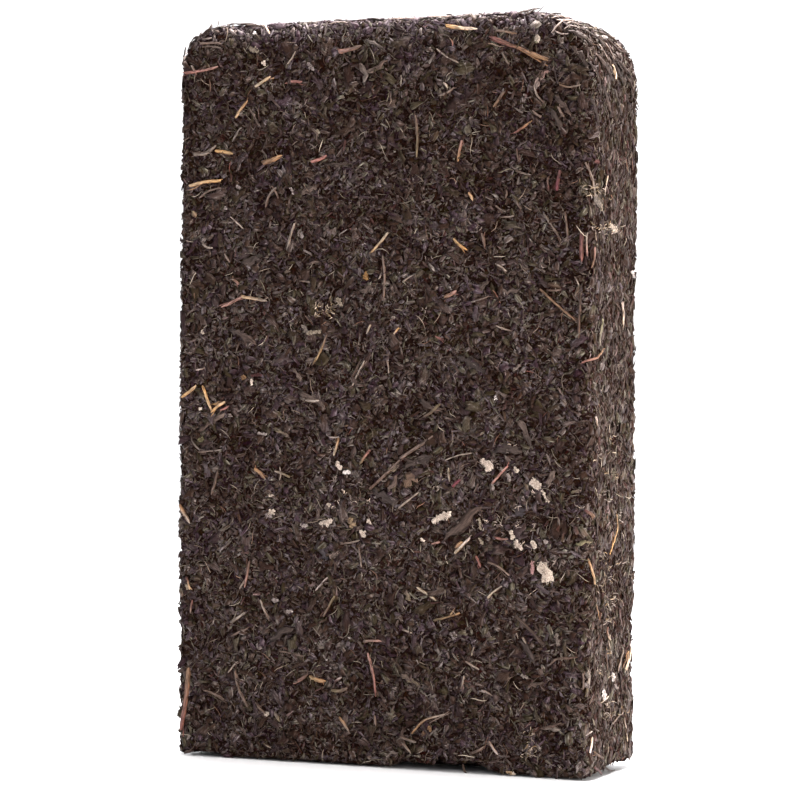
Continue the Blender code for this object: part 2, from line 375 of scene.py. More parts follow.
def wisp_shape(rng):
    """A thin three-sided strand, one unit long, that bends sideways and thins out at both ends."""
    bm, grain = new_shape()
    bow = rng.uniform(-WISP_BOW, WISP_BOW)
    sway = rng.uniform(-WISP_SWAY, WISP_SWAY)
    rings = []
    for station in range(WISP_STATIONS):
        x = station / (WISP_STATIONS - 1) - 0.5
        y = (bow + sway * x) * (0.25 - x * x)
        half = WISP_HALF_WIDTH * (1.0 - WISP_TAPER * x * x) * rng.uniform(0.75, 1.25)
        ring = []
        for corner in range(3):
            angle = math.tau * corner / 3 + math.pi / 2
            height = half * math.sin(angle) + rng.uniform(-0.03, 0.03)
            vert = bm.verts.new((x, y + half * math.cos(angle), height))
            vert[grain] = (x, math.cos(angle) / 2, 0.0)
            ring.append(vert)
        rings.append(ring)
    for near, far in zip(rings, rings[1:]):
        for corner in range(3):
            after = (corner + 1) % 3
            bm.faces.new((near[corner], near[after], far[after], far[corner]))
    bm.faces.new(rings[0])
    bm.faces.new(rings[-1])
    cut_in_triangles(bm)
    return bm


def shapes(name, count, make, *how):
    """A collection of hidden shapes."""
    collection = bpy.data.collections.new(name)
    for number in range(count):
        mesh = finished(make(*how), bpy.data.meshes.new(f"{name}_{number}"))
        collection.objects.link(bpy.data.objects.new(mesh.name, mesh))
    return collection


# ---------------------------------------------------------------- stems, shown leaves and pale flecks

STALK_HUES = {
    "char": srgb(49, 42, 41),
    "umber": srgb(62, 52, 48),
    "dark_brown": srgb(75, 60, 54),
    "brown": srgb(87, 74, 68),
    "olive": srgb(99, 88, 70),
    "rust": srgb(103, 82, 67),
    "dull_tan": srgb(101, 87, 81),
    "red": srgb(106, 73, 70),
    "dark_red": srgb(78, 52, 52),
    "pink": srgb(131, 102, 96),
    "tan": srgb(121, 110, 103),
    "orange": srgb(134, 105, 79),
    "grey_tan": srgb(132, 122, 115),
    "honey": srgb(168, 134, 94),
    "gold": srgb(137, 115, 87),
    "straw": srgb(154, 141, 125),
    "silver": srgb(145, 133, 130),
    "peach": srgb(166, 142, 116),
    "bone": srgb(167, 154, 149),
    "cream": srgb(203, 187, 172),
    "pith": srgb(214, 197, 183),
    "white": srgb(236, 225, 220),
    "magenta": srgb(90, 49, 57),
    "rose": srgb(138, 97, 92),
    "amber": srgb(148, 113, 74),
    "moss": srgb(108, 103, 78),
    "grey": srgb(98, 90, 86),
    "faded_pink": srgb(168, 131, 129),
    "dark": srgb(56, 46, 43),
    "leaf": srgb(62, 52, 46),
    "slate": srgb(48, 46, 52),
}
RIND_COLOUR = srgb(74, 40, 31)
# Painted shade down the sides of stems and leaf pieces: how much darker and warmer each colour is made
# there.
SIDE_SHADE_TINT = (0.70, 0.50, 0.32)

# Stems that the photograph shows: colours of the two ends, width in pixels, and pixels along each.
SHOWN_STEMS = (
    ("rose", "pink", 2.6, (187, 73), (203, 71), (219, 67)),
    ("grey_tan", "pink", 2.2, (193, 66), (198, 75)),
    ("straw", "peach", 3.2, (257, 87), (272, 77)),
    ("peach", "orange", 3.0, (237, 118), (249, 101)),
    ("grey_tan", "tan", 1.6, (289, 64), (297, 52)),
    ("rose", "red", 2.8, (288, 82), (303, 82)),
    ("honey", "gold", 3.4, (217, 151), (234, 154)),
    ("grey", "grey", 2.0, (196, 156), (206, 154), (216, 147)),
    ("rust", "orange", 5.0, (265, 163), (273, 161), (283, 156)),
    ("rose", "rose", 3.4, (313, 162), (328, 156)),
    ("peach", "honey", 3.4, (191, 186), (208, 182), (222, 181)),
    ("pink", "brown", 4.5, (341, 52), (352, 50), (362, 46)),
    ("honey", "cream", 3.6, (448, 26), (462, 28), (478, 29)),
    ("dull_tan", "rust", 2.6, (497, 31), (507, 31), (518, 34)),
    ("red", "orange", 3.8, (491, 37), (512, 46), (532, 54), (549, 61)),
    ("red", "rust", 1.6, (493, 36), (513, 44), (533, 52), (550, 59)),
    ("tan", "tan", 1.8, (438, 49), (449, 57), (460, 63)),
    ("grey_tan", "dark_brown", 2.2, (536, 88), (537, 96), (545, 103)),
    ("rust", "tan", 2.0, (561, 85), (571, 87), (582, 85)),
    ("char", "char", 1.6, (556, 71), (557, 79), (561, 85)),
    ("red", "orange", 2.4, (516, 133), (533, 121)),
    ("pink", "orange", 3.0, (463, 141), (461, 151), (459, 161)),
    ("brown", "olive", 2.6, (417, 116), (419, 136), (418, 157)),
    ("dark_red", "magenta", 4.0, (561, 171), (559, 181), (558, 190)),
    ("orange", "peach", 3.0, (470, 193), (474, 201)),
    ("dark_red", "dark_brown", 2.0, (598, 73), (597, 63)),
    ("silver", "grey_tan", 1.6, (232, 217), (245, 229)),
    ("tan", "grey_tan", 2.4, (296, 224), (292, 238), (288, 253)),
    ("straw", "gold", 2.8, (389, 233), (380, 244), (372, 253)),
    ("rust", "pink", 3.0, (233, 279), (240, 284)),
    ("pink", "pink", 3.0, (223, 307), (233, 302), (243, 297)),
    ("peach", "tan", 3.0, (243, 297), (253, 298), (268, 301)),
    ("brown", "gold", 2.4, (328, 335), (323, 347), (318, 360)),
    ("grey_tan", "tan", 2.0, (366, 361), (354, 385)),
    ("umber", "dark_brown", 1.8, (362, 360), (352, 380)),
    ("honey", "bone", 2.0, (400, 328), (393, 337)),
    ("straw", "grey_tan", 2.0, (372, 325), (368, 334)),
    ("dull_tan", "grey_tan", 1.8, (388, 360), (390, 373)),
    ("honey", "peach", 3.4, (184, 397), (190, 392), (197, 386)),
    ("honey", "peach", 3.2, (204, 386), (208, 398), (213, 411)),
    ("honey", "peach", 3.0, (213, 412), (219, 407), (226, 402)),
    ("rose", "red", 2.6, (222, 410), (230, 406)),
    ("gold", "amber", 3.0, (455, 239), (461, 245), (468, 250)),
    ("tan", "tan", 2.4, (497, 264), (507, 271)),
    ("tan", "dull_tan", 2.2, (498, 326), (506, 329), (513, 331)),
    ("rust", "rust", 2.2, (541, 289), (558, 305), (577, 321)),
    ("rust", "pink", 4.0, (446, 297), (457, 291)),
    ("red", "red", 2.2, (436, 336), (445, 340)),
    ("dark_red", "red", 4.4, (583, 234), (582, 248), (583, 261)),
    ("grey_tan", "pink", 2.0, (587, 233), (587, 256)),
    ("orange", "straw", 2.6, (340, 438), (339, 446), (335, 455)),
    ("rose", "olive", 2.6, (371, 450), (365, 457), (361, 464)),
    ("orange", "rust", 4.0, (256, 469), (261, 473), (266, 478)),
    ("tan", "olive", 2.4, (276, 471), (284, 474), (291, 477)),
    ("grey_tan", "tan", 1.8, (281, 467), (284, 474), (281, 480)),
    ("dull_tan", "tan", 2.0, (342, 543), (352, 543), (361, 540)),
    ("dull_tan", "grey_tan", 2.0, (360, 547), (364, 580)),
    ("silver", "silver", 2.2, (317, 590), (329, 577)),
    ("orange", "grey_tan", 4.0, (182, 505), (186, 514), (191, 523)),
    ("dark_red", "peach", 2.6, (188, 577), (191, 589)),
    ("dark_brown", "pink", 3.0, (251, 561), (246, 587)),
    ("umber", "brown", 3.0, (219, 470), (213, 494)),
    ("dark_brown", "dull_tan", 3.0, (371, 489), (386, 474), (401, 460)),
    ("tan", "tan", 2.2, (400, 508), (420, 492)),
    ("rose", "pink", 2.4, (509, 466), (493, 484)),
    ("magenta", "magenta", 3.4, (454, 486), (461, 480)),
    ("rose", "pink", 2.0, (497, 538), (509, 539)),
    ("straw", "bone", 3.2, (456, 553), (471, 538)),
    ("pink", "pink", 2.2, (433, 544), (441, 542)),
    ("grey_tan", "tan", 1.4, (447, 460), (460, 455), (473, 453)),
    ("straw", "grey_tan", 2.2, (450, 468), (451, 481)),
    ("straw", "straw", 2.6, (418, 587), (428, 594), (437, 600)),
    ("straw", "grey_tan", 2.0, (489, 597), (503, 586)),
    ("rust", "red", 5.0, (190, 668), (187, 698), (183, 729)),
    ("pink", "red", 2.8, (369, 653), (374, 674), (377, 696)),
    ("dull_tan", "pink", 2.6, (365, 641), (374, 641), (383, 641)),
    ("grey_tan", "dull_tan", 2.4, (262, 600), (270, 618)),
    ("brown", "olive", 2.6, (325, 616), (331, 605), (336, 596)),
    ("brown", "brown", 3.0, (236, 671), (240, 688), (249, 706)),
    ("pink", "dark_brown", 3.4, (295, 683), (302, 679), (309, 674)),
    ("gold", "orange", 4.4, (311, 676), (318, 680), (327, 681)),
    ("olive", "brown", 3.4, (333, 690), (341, 691), (348, 688)),
    ("orange", "tan", 3.0, (341, 717), (345, 723), (350, 731)),
    ("tan", "tan", 2.0, (230, 672), (239, 661)),
    ("tan", "olive", 4.0, (276, 712), (281, 721)),
    ("olive", "tan", 1.8, (265, 743), (272, 747)),
    ("brown", "brown", 1.8, (281, 651), (293, 654), (305, 656)),
    ("orange", "tan", 2.2, (413, 733), (425, 719), (446, 714)),
    ("char", "char", 2.0, (422, 723), (431, 738)),
    ("olive", "orange", 2.2, (435, 620), (448, 617), (461, 613)),
    ("straw", "tan", 1.8, (473, 655), (475, 647)),
    ("dull_tan", "grey_tan", 2.2, (467, 661), (480, 669)),
    ("brown", "dull_tan", 2.4, (473, 753), (486, 746)),
    ("dull_tan", "silver", 2.6, (490, 741), (499, 754)),
    ("silver", "dull_tan", 2.0, (483, 690), (493, 695)),
    ("dull_tan", "tan", 2.2, (586, 163), (591, 178), (593, 196)),
    ("cream", "bone", 1.8, (606, 176), (603, 195)),
    ("pink", "rust", 1.4, (624, 152), (626, 172)),
    ("dull_tan", "pink", 1.4, (630, 152), (631, 170)),
    ("pink", "rust", 2.0, (593, 248), (592, 257), (590, 268)),
    ("bone", "cream", 2.4, (621, 302), (622, 324)),
    ("red", "orange", 2.2, (582, 364), (601, 351)),
    ("umber", "dark_brown", 2.6, (582, 293), (581, 315), (580, 338)),
    ("peach", "honey", 2.0, (615, 514), (617, 526), (613, 541), (608, 554)),
    ("orange", "peach", 2.6, (587, 559), (593, 584)),
    ("grey_tan", "silver", 1.8, (622, 650), (619, 661), (616, 673)),
    ("orange", "rust", 1.8, (626, 650), (624, 660), (621, 668)),
    ("pith", "pith", 2.0, (630, 647), (628, 658), (625, 670)),
    ("peach", "cream", 1.8, (627, 651), (626, 662), (624, 669)),
    ("brown", "dull_tan", 2.4, (583, 673), (584, 681), (583, 689)),
    ("grey_tan", "grey_tan", 3.0, (587, 670), (588, 678), (586, 687)),
    ("olive", "olive", 2.6, (586, 688), (585, 696)),
    ("pink", "straw", 2.2, (606, 627), (605, 634), (609, 640)),
    ("grey_tan", "grey_tan", 2.0, (607, 640), (608, 648), (610, 653)),
    ("tan", "orange", 1.6, (594, 598), (596, 609), (598, 620)),
    ("dark_brown", "dull_tan", 1.6, (604, 655), (606, 664), (605, 671)),
    ("bone", "cream", 1.6, (623, 718), (624, 730), (626, 741)),
    ("silver", "bone", 2.0, (585, 735), (590, 731)),
    ("cream", "white", 2.4, (590, 737), (589, 745), (588, 752)),
    ("brown", "brown", 2.2, (592, 728), (597, 731)),
    ("rust", "dark_brown", 2.8, (592, 752), (596, 755), (600, 757)),
    ("straw", "cream", 1.6, (599, 703), (603, 700), (607, 696)),
    ("dull_tan", "tan", 1.6, (618, 715), (614, 719), (611, 724)),
    ("dull_tan", "dull_tan", 2.4, (202, 44), (213, 42), (222, 44)),
    ("brown", "grey", 1.8, (204, 47), (214, 47), (224, 49)),
    ("grey", "silver", 1.8, (204, 40), (213, 38)),
    ("white", "cream", 1.8, (265, 26), (271, 34)),
    ("bone", "dull_tan", 2.2, (198, 370), (206, 368)),
    ("grey", "grey_tan", 3.0, (302, 398), (310, 401), (320, 401)),
    ("brown", "grey", 2.0, (200, 452), (211, 451), (222, 450)),
    ("grey", "grey", 2.0, (193, 440), (197, 446), (204, 452)),
    ("silver", "bone", 1.8, (331, 437), (340, 437)),
    ("rust", "dull_tan", 2.0, (346, 426), (351, 422), (355, 429)),
    ("dark_red", "silver", 2.4, (336, 682), (343, 677)),
    ("red", "dull_tan", 2.2, (194, 600), (192, 613)),
    ("dull_tan", "grey_tan", 2.2, (246, 580), (241, 588)),
    ("grey_tan", "grey", 3.0, (246, 613), (239, 618), (232, 622)),
    ("brown", "dull_tan", 2.4, (233, 636), (241, 631), (248, 629)),
    ("brown", "dull_tan", 2.4, (257, 702), (262, 709), (268, 714)),
    ("brown", "dull_tan", 2.4, (376, 715), (377, 725)),
    ("brown", "brown", 2.6, (205, 690), (217, 694), (225, 699)),
    ("dull_tan", "grey_tan", 2.0, (400, 628), (406, 631), (413, 633)),
    ("dull_tan", "grey", 2.6, (402, 737), (410, 741), (417, 742)),
    ("brown", "tan", 2.6, (403, 742), (408, 748), (412, 753)),
    ("gold", "rust", 1.8, (451, 616), (456, 608)),
    ("grey_tan", "brown", 2.4, (465, 676), (465, 683), (462, 689)),
    ("umber", "umber", 3.0, (517, 616), (530, 628), (544, 644)),
    ("tan", "tan", 2.4, (524, 637), (527, 643)),
    ("brown", "dark_brown", 2.4, (552, 664), (556, 658), (566, 659), (575, 657)),
    ("dark_brown", "brown", 2.0, (518, 149), (520, 161)),
    ("brown", "grey", 2.0, (517, 171), (532, 175)),
    ("brown", "dark_red", 2.4, (549, 178), (550, 190)),
    ("brown", "brown", 2.4, (566, 213), (568, 228), (569, 241)),
    ("brown", "brown", 2.2, (508, 190), (507, 198)),
    ("grey", "brown", 2.4, (545, 214), (552, 226), (562, 240)),
    ("grey", "brown", 2.0, (516, 199), (523, 209)),
    ("grey", "brown", 1.8, (515, 216), (501, 217)),
    ("brown", "grey", 1.8, (497, 206), (507, 212)),
    ("brown", "dark_brown", 3.0, (483, 234), (486, 248)),
    ("tan", "grey", 1.8, (404, 282), (417, 274)),
    ("grey", "brown", 2.2, (473, 302), (490, 296)),
    ("bone", "cream", 2.0, (620, 303), (622, 312), (621, 324)),
    ("dull_tan", "grey_tan", 1.8, (576, 277), (580, 285)),
    ("dark_brown", "brown", 1.8, (548, 290), (562, 290)),
    ("tan", "tan", 2.4, (195, 154), (207, 155), (217, 146)),
    ("dull_tan", "dull_tan", 2.2, (201, 198), (209, 190), (222, 188)),
    ("grey", "grey_tan", 2.4, (204, 244), (208, 248), (214, 248)),
    ("grey", "dull_tan", 2.2, (226, 254), (231, 262)),
    ("dull_tan", "brown", 3.0, (384, 256), (386, 272), (385, 300)),
    ("grey_tan", "tan", 1.8, (380, 279), (383, 273)),
    ("grey", "brown", 2.4, (277, 188), (270, 196), (267, 207)),
    ("dark_brown", "brown", 2.0, (273, 186), (280, 198)),
    ("red", "dull_tan", 2.0, (352, 229), (360, 234)),
    ("brown", "dull_tan", 2.6, (311, 264), (320, 262)),
    ("brown", "grey", 2.0, (301, 281), (313, 283)),
    ("rust", "rose", 1.8, (452, 39), (454, 46)),
    ("grey", "dull_tan", 2.2, (503, 52), (506, 60), (510, 64)),
    ("bone", "straw", 2.4, (445, 83), (449, 88)),
    ("tan", "dull_tan", 2.4, (440, 96), (447, 93), (455, 88)),
    ("grey", "grey", 2.0, (516, 108), (524, 113)),
    ("dull_tan", "dull_tan", 2.4, (534, 111), (542, 117)),
    ("brown", "rust", 3.0, (505, 92), (500, 100), (495, 107)),
    ("dull_tan", "brown", 3.4, (402, 458), (416, 449), (428, 441), (434, 436)),
    ("brown", "olive", 3.0, (424, 418), (433, 411), (441, 404)),
    ("rust", "orange", 4.0, (457, 547), (463, 542)),
    ("rose", "red", 2.6, (477, 556), (482, 567)),
    ("brown", "dull_tan", 2.0, (489, 562), (500, 565), (510, 575)),
    ("bone", "tan", 2.4, (594, 417), (596, 426)),
    ("dark_red", "rust", 3.0, (585, 510), (592, 517)),
    ("dull_tan", "brown", 2.6, (559, 107), (565, 117)),
)

# Leaf strips that the photograph shows, given in the same way.
SHOWN_LEAVES = (
    ("umber", "umber", 4.0, (325, 164), (337, 166), (349, 163)),
    ("pink", "tan", 7.0, (549, 72), (541, 78), (536, 90)),
    ("brown", "grey", 8.0, (363, 64), (368, 74), (364, 84)),
    ("dark_brown", "brown", 5.0, (388, 60), (378, 68), (366, 74)),
    ("grey", "umber", 4.0, (367, 40), (378, 44), (388, 52)),
    ("dull_tan", "brown", 3.0, (251, 108), (256, 118), (262, 127)),
    ("grey", "grey", 3.0, (234, 142), (238, 132), (243, 127)),
    ("brown", "brown", 4.0, (312, 128), (320, 133), (318, 141)),
    ("amber", "rust", 5.0, (213, 404), (224, 402)),
    ("tan", "dull_tan", 4.0, (514, 371), (522, 365)),
    ("brown", "brown", 7.0, (549, 487), (552, 479), (556, 470)),
    ("brown", "dark_brown", 8.0, (390, 491), (394, 484), (399, 476)),
    ("olive", "brown", 7.0, (389, 470), (401, 465)),
    ("umber", "brown", 5.0, (401, 673), (412, 680), (422, 687)),
    ("dark_brown", "dark_brown", 4.0, (541, 729), (551, 727), (562, 723)),
    ("tan", "moss", 4.0, (597, 348), (599, 334), (601, 319)),
    ("olive", "rust", 6.0, (193, 211), (197, 217)),
    ("umber", "dark_brown", 13.0, (446, 540), (462, 522), (484, 506)),
    ("char", "dark_brown", 9.0, (232, 330), (246, 336), (258, 345)),
    ("umber", "brown", 8.0, (300, 392), (314, 398), (326, 410)),
    ("char", "char", 9.0, (460, 356), (474, 362), (486, 374)),
    ("brown", "char", 7.0, (520, 420), (528, 432), (532, 446)),
    ("char", "dark_brown", 8.0, (420, 400), (432, 408), (446, 410)),
    ("char", "umber", 8.0, (270, 640), (282, 632), (296, 628)),
    ("char", "char", 7.0, (520, 640), (530, 650), (536, 664)),
    ("grey_tan", "moss", 5.0, (537, 36), (538, 44)),
    ("straw", "grey_tan", 4.0, (606, 604), (609, 611)),
    ("brown", "brown", 6.0, (295, 368), (299, 375), (303, 381)),
    ("olive", "brown", 6.0, (276, 428), (283, 432), (290, 437)),
    ("brown", "dark_brown", 7.0, (226, 412), (214, 422), (201, 432)),
    ("dull_tan", "dull_tan", 9.0, (332, 560), (336, 555), (341, 551)),
    ("char", "slate", 12.0, (319, 540), (323, 550), (327, 560)),
    ("char", "char", 12.0, (374, 491), (386, 497), (398, 503)),
    ("brown", "olive", 8.0, (403, 674), (412, 680), (420, 686)),
    ("brown", "olive", 8.0, (408, 590), (411, 600)),
    ("grey", "grey", 8.0, (436, 648), (443, 654)),
    ("dark_brown", "brown", 5.0, (528, 686), (536, 684), (544, 682)),
    ("brown", "tan", 5.0, (544, 728), (553, 728), (562, 729)),
    ("grey", "silver", 5.0, (582, 762), (577, 773)),
    ("umber", "char", 11.0, (243, 262), (254, 262), (262, 258)),
    ("brown", "brown", 6.0, (303, 194), (310, 190), (319, 186)),
    ("brown", "umber", 10.0, (362, 290), (369, 292), (374, 285)),
    ("char", "char", 10.0, (350, 178), (358, 180)),
    ("grey", "brown", 6.0, (573, 148), (575, 156)),
    ("umber", "umber", 7.0, (490, 280), (480, 290), (474, 298)),
    ("brown", "umber", 8.0, (500, 292), (510, 292), (520, 290)),
    ("slate", "slate", 7.0, (506, 40), (520, 42)),
    ("rust", "dark_brown", 12.0, (404, 488), (412, 478), (420, 470)),
    ("moss", "olive", 4.4, (577, 544), (590, 541)),
    ("olive", "dull_tan", 5.0, (573, 492), (582, 490)),
    ("umber", "char", 12.0, (404, 466), (420, 460), (434, 456)),
    ("char", "slate", 12.0, (514, 506), (528, 512)),
    ("char", "umber", 10.0, (496, 452), (512, 448), (524, 452)),
    ("char", "umber", 6.0, (566, 31), (580, 37), (592, 47)),
    ("umber", "char", 6.0, (584, 31), (597, 39), (606, 51)),
    ("dark_brown", "char", 6.0, (594, 54), (604, 66), (611, 81)),
    ("char", "char", 6.0, (607, 53), (615, 67), (621, 83)),
    ("char", "umber", 7.0, (588, 62), (595, 75), (600, 91)),
    ("umber", "char", 6.0, (612, 89), (617, 101), (620, 115)),
    ("char", "dark_brown", 6.0, (601, 86), (606, 99), (609, 113)),
    ("umber", "char", 7.0, (573, 47), (583, 57), (589, 70)),
    ("char", "umber", 5.0, (624, 93), (628, 107), (630, 121)),
    ("char", "char", 6.0, (590, 98), (594, 111), (596, 125)),
    ("char", "dark_brown", 7.0, (555, 96), (565, 104), (572, 116)),
    ("char", "umber", 7.0, (548, 108), (558, 117), (562, 130)),
)

# Curls and sprigs that stand off the edges: colour, width in pixels, how far the far end rises, and pixels.
EDGE_CURLS = (
    ("dark", 5.5, 0.0000, (228, 25), (245, 26), (262, 28)),
    ("dark", 4.0, 0.0008, (209, 36), (212, 32), (214, 28)),
    ("dark", 3.0, 0.0008, (204, 36), (209, 33), (213, 32)),
    ("grey", 1.2, 0.0016, (218, 28), (219, 25), (219, 21)),
    ("dark", 4.5, 0.0004, (186, 44), (192, 40), (200, 38)),
    ("dark", 2.6, 0.0005, (184, 57), (182, 51), (187, 48)),
    ("dark", 5.0, 0.0006, (516, 17), (528, 13), (538, 12)),
    ("dark", 4.0, 0.0008, (526, 18), (534, 13), (541, 12)),
    ("dark", 1.6, 0.0016, (538, 14), (541, 10), (544, 8)),
    ("dark", 2.6, 0.0004, (545, 20), (553, 17), (560, 16)),
    # These bone and silver curls on the top edge are pale partly in their own colour and partly as painted
    # highlight, where light from above catches them.
    ("bone", 1.8, 0.0003, (553, 33), (556, 27), (562, 24)),
    ("silver", 1.6, 0.0003, (556, 31), (562, 35), (569, 35)),
    ("bone", 1.6, 0.0003, (557, 22), (565, 24), (573, 22)),
    ("silver", 1.5, 0.0003, (565, 30), (571, 28), (577, 30)),
    ("bone", 1.5, 0.0003, (552, 20), (560, 19), (569, 20)),
    ("silver", 1.3, 0.0003, (566, 26), (574, 24), (580, 27)),
    ("silver", 1.6, 0.0003, (583, 36), (586, 40), (590, 43)),
    ("dark", 2.6, 0.0004, (578, 24), (586, 25), (593, 30)),
    ("dark", 3.0, 0.0005, (598, 33), (608, 37), (614, 43)),
    ("dark", 3.0, 0.0005, (606, 40), (613, 47), (617, 54)),
    ("dark", 1.8, 0.0010, (617, 51), (622, 53), (626, 56)),
    ("dark", 4.0, 0.0004, (614, 58), (620, 65), (624, 74)),
    ("dark", 4.0, 0.0004, (622, 66), (628, 74), (631, 85)),
    ("dark", 3.0, 0.0004, (626, 78), (630, 86), (631, 94)),
    ("dark", 1.3, 0.0012, (629, 92), (633, 100), (634, 109)),
    ("peach", 5.6, 0.0002, (611, 65), (613, 72), (615, 80)),
    ("cream", 2.6, 0.0004, (612, 66), (614, 72), (613, 79)),
    # These silver and bone curls near the top edge are pale partly in their own colour and partly as painted
    # highlight, where light from above catches them.
    ("silver", 1.6, 0.0004, (605, 44), (609, 52), (612, 60)),
    ("silver", 1.4, 0.0003, (598, 46), (603, 53), (606, 61)),
    ("bone", 1.6, 0.0003, (430, 19), (442, 18), (452, 19)),
    ("bone", 1.6, 0.0003, (392, 21), (404, 20), (416, 21)),
    ("silver", 1.4, 0.0003, (330, 26), (338, 24), (348, 25)),
    ("dark", 2.0, 0.0006, (602, 766), (607, 769), (614, 769)),
    ("dark_red", 2.6, 0.0004, (592, 767), (596, 770), (600, 772)),
    ("leaf", 2.6, 0.0006, (464, 764), (466, 769), (469, 773)),
)
LEAF_CURL_PIXELS = 3.3

# Pale flecks that the photograph shows: colour, width in pixels and the pixels of both ends.
SHOWN_FLECKS = (
    ("pith", 8.5, (484, 460), (492, 468)),
    ("pith", 8.5, (435, 520), (451, 514)),
    ("pith", 8.5, (535, 481), (540, 488)),
    ("cream", 2.6, (543, 490), (550, 502)),
    ("cream", 5.0, (512, 532), (515, 538)),
    ("pith", 5.5, (517, 541), (522, 549)),
    ("cream", 13.0, (541, 565), (549, 578)),
    ("faded_pink", 4.0, (534, 562), (534, 574)),
    ("pith", 6.5, (323, 525), (333, 520)),
    ("pith", 5.0, (338, 462), (342, 469)),
    ("white", 4.0, (345, 473), (351, 472)),
    ("grey", 5.0, (354, 472), (360, 476)),
    ("silver", 4.5, (268, 515), (272, 516)),
    ("peach", 6.5, (350, 520), (357, 525)),
    ("pith", 4.0, (369, 520), (372, 523)),
    ("bone", 4.0, (303, 524), (308, 526)),
    ("pith", 3.0, (423, 538), (425, 541)),
    ("cream", 4.0, (515, 468), (519, 471)),
    ("bone", 3.0, (509, 474), (511, 480)),
    ("straw", 2.5, (480, 518), (482, 530)),
    ("cream", 5.0, (533, 542), (536, 547)),
    ("bone", 3.5, (546, 540), (548, 543)),
    ("straw", 4.0, (482, 538), (483, 543)),
    ("white", 3.5, (496, 397), (499, 399)),
    ("amber", 4.5, (367, 273), (368, 279)),
    ("straw", 4.5, (338, 298), (342, 305)),
    ("grey_tan", 3.0, (393, 317), (395, 318)),
    ("cream", 5.0, (538, 36), (539, 42)),
    ("straw", 5.5, (251, 49), (259, 50)),
    ("pith", 2.0, (253, 379), (253, 385)),
    ("bone", 2.0, (259, 433), (268, 434)),
    ("pith", 2.5, (201, 408), (202, 409)),
    ("grey_tan", 8.0, (593, 200), (599, 205)),
    ("cream", 5.5, (609, 226), (615, 231)),
    ("white", 2.5, (631, 271), (632, 277)),
    ("white", 4.5, (611, 674), (612, 680)),
    ("white", 7.0, (602, 691), (603, 698)),
    ("bone", 2.6, (613, 685), (616, 688)),
    ("cream", 2.4, (594, 28), (596, 29)),
    ("white", 2.4, (602, 37), (606, 39)),
    ("bone", 2.2, (214, 32), (215, 33)),
    ("white", 2.0, (228, 25), (229, 25)),
    ("white", 2.6, (255, 34), (257, 33)),
    ("pith", 3.4, (265, 62), (266, 66)),
    ("white", 2.0, (184, 52), (185, 53)),
    ("cream", 3.0, (203, 331), (205, 333)),
    ("straw", 3.0, (318, 131), (320, 133)),
    ("dark_red", 3.5, (253, 376), (263, 375)),
    ("grey_tan", 3.6, (303, 325), (309, 332)),
    ("straw", 4.5, (309, 333), (321, 331)),
    ("grey_tan", 4.5, (586, 673), (588, 677)),
    ("silver", 4.5, (585, 683), (587, 687)),
    ("dark_brown", 3.6, (592, 714), (592, 718)),
    ("umber", 4.0, (547, 237), (551, 240)),
    ("cream", 2.5, (513, 772), (515, 772)),
    ("silver", 4.5, (310, 64), (314, 70)),
    ("orange", 4.0, (244, 377), (247, 378)),
    ("moss", 5.0, (201, 439), (205, 440)),
    ("cream", 2.2, (270, 495), (275, 496)),
    ("cream", 4.6, (270, 514), (275, 511)),
    ("pith", 5.6, (363, 531), (365, 536)),
    ("cream", 3.4, (329, 504), (331, 505)),
    ("silver", 4.0, (274, 600), (279, 600)),
    ("bone", 3.0, (288, 611), (293, 611)),
    ("silver", 4.6, (259, 645), (262, 648)),
    ("cream", 4.0, (266, 713), (270, 713)),
    ("rust", 3.4, (423, 733), (426, 734)),
    ("orange", 3.4, (430, 726), (432, 731)),
    ("silver", 5.0, (453, 633), (456, 637)),
    ("tan", 4.6, (558, 635), (559, 644)),
    ("grey_tan", 4.0, (523, 675), (529, 677)),
    ("dull_tan", 5.0, (540, 670), (543, 671)),
    ("peach", 3.4, (508, 770), (514, 772)),
    ("straw", 3.0, (187, 585), (190, 588)),
    ("silver", 5.0, (300, 232), (303, 236)),
    ("silver", 2.6, (292, 188), (295, 194)),
    ("silver", 3.0, (238, 186), (241, 189)),
    ("straw", 5.0, (597, 203), (600, 208)),
    ("silver", 2.4, (226, 208), (228, 209)),
    ("red", 3.4, (594, 161), (597, 162)),
    ("brown", 3.0, (500, 212), (505, 210)),
)

BACK_STEMS = 66
SIDE_STEMS = 14
TOP_STEMS = 9
BACK_LEAVES = 20
SIDE_LEAVES = 3
TOP_LEAVES = 2
BACK_FLECKS = 40
STEM_SIDES = 7
STEM_STATION = 0.0011
STEM_FLATNESS = 0.75
SPLINTER_FLATNESS = 0.7
CURL_FLATNESS = 0.6
STEM_SWAY = 0.00025
STEM_WAVE = 0.00012
STEM_LIFT = 0.00035
CURL_LIFT = 0.0004
STRAND_LIFT = (0.0002, 0.0008)
SPLINTERED_WIDTH = 0.00062
LEAF_STATION = 0.0010
LEAF_COLUMNS = 5
LEAF_LIFT = 0.0004
LEAF_HALF_THICKNESS = 0.00009
LEAF_WAVE = 0.00022
LEAF_RAG = 0.22
# Painted highlight: how much lighter a leaf piece is made at its rim and ends.
LEAF_RIM_HIGHLIGHT = 1.35
PALEST_LEAF = 0.9
PALEST = 0.95
FLECK_GRAINS_PER_AREA = 2.2e7
FLECK_GRAIN_SIZE = (0.00010, 0.00021)
FLECK_LEAST_PIXELS = 2.6
FLECK_LIFT = 0.0003
FLECK_RISE = 0.0004
FLECK_STRETCH = 1.15
CRUST_CORNERS = 15
CRUST_RIM_LIFT = 0.0003
CRUST_DEPTH = 0.0004
CRUST_DOME = 0.35
GRAIN_STAINS = (0.0, 0.0, 0.0, 0.12, 0.3, 0.55)

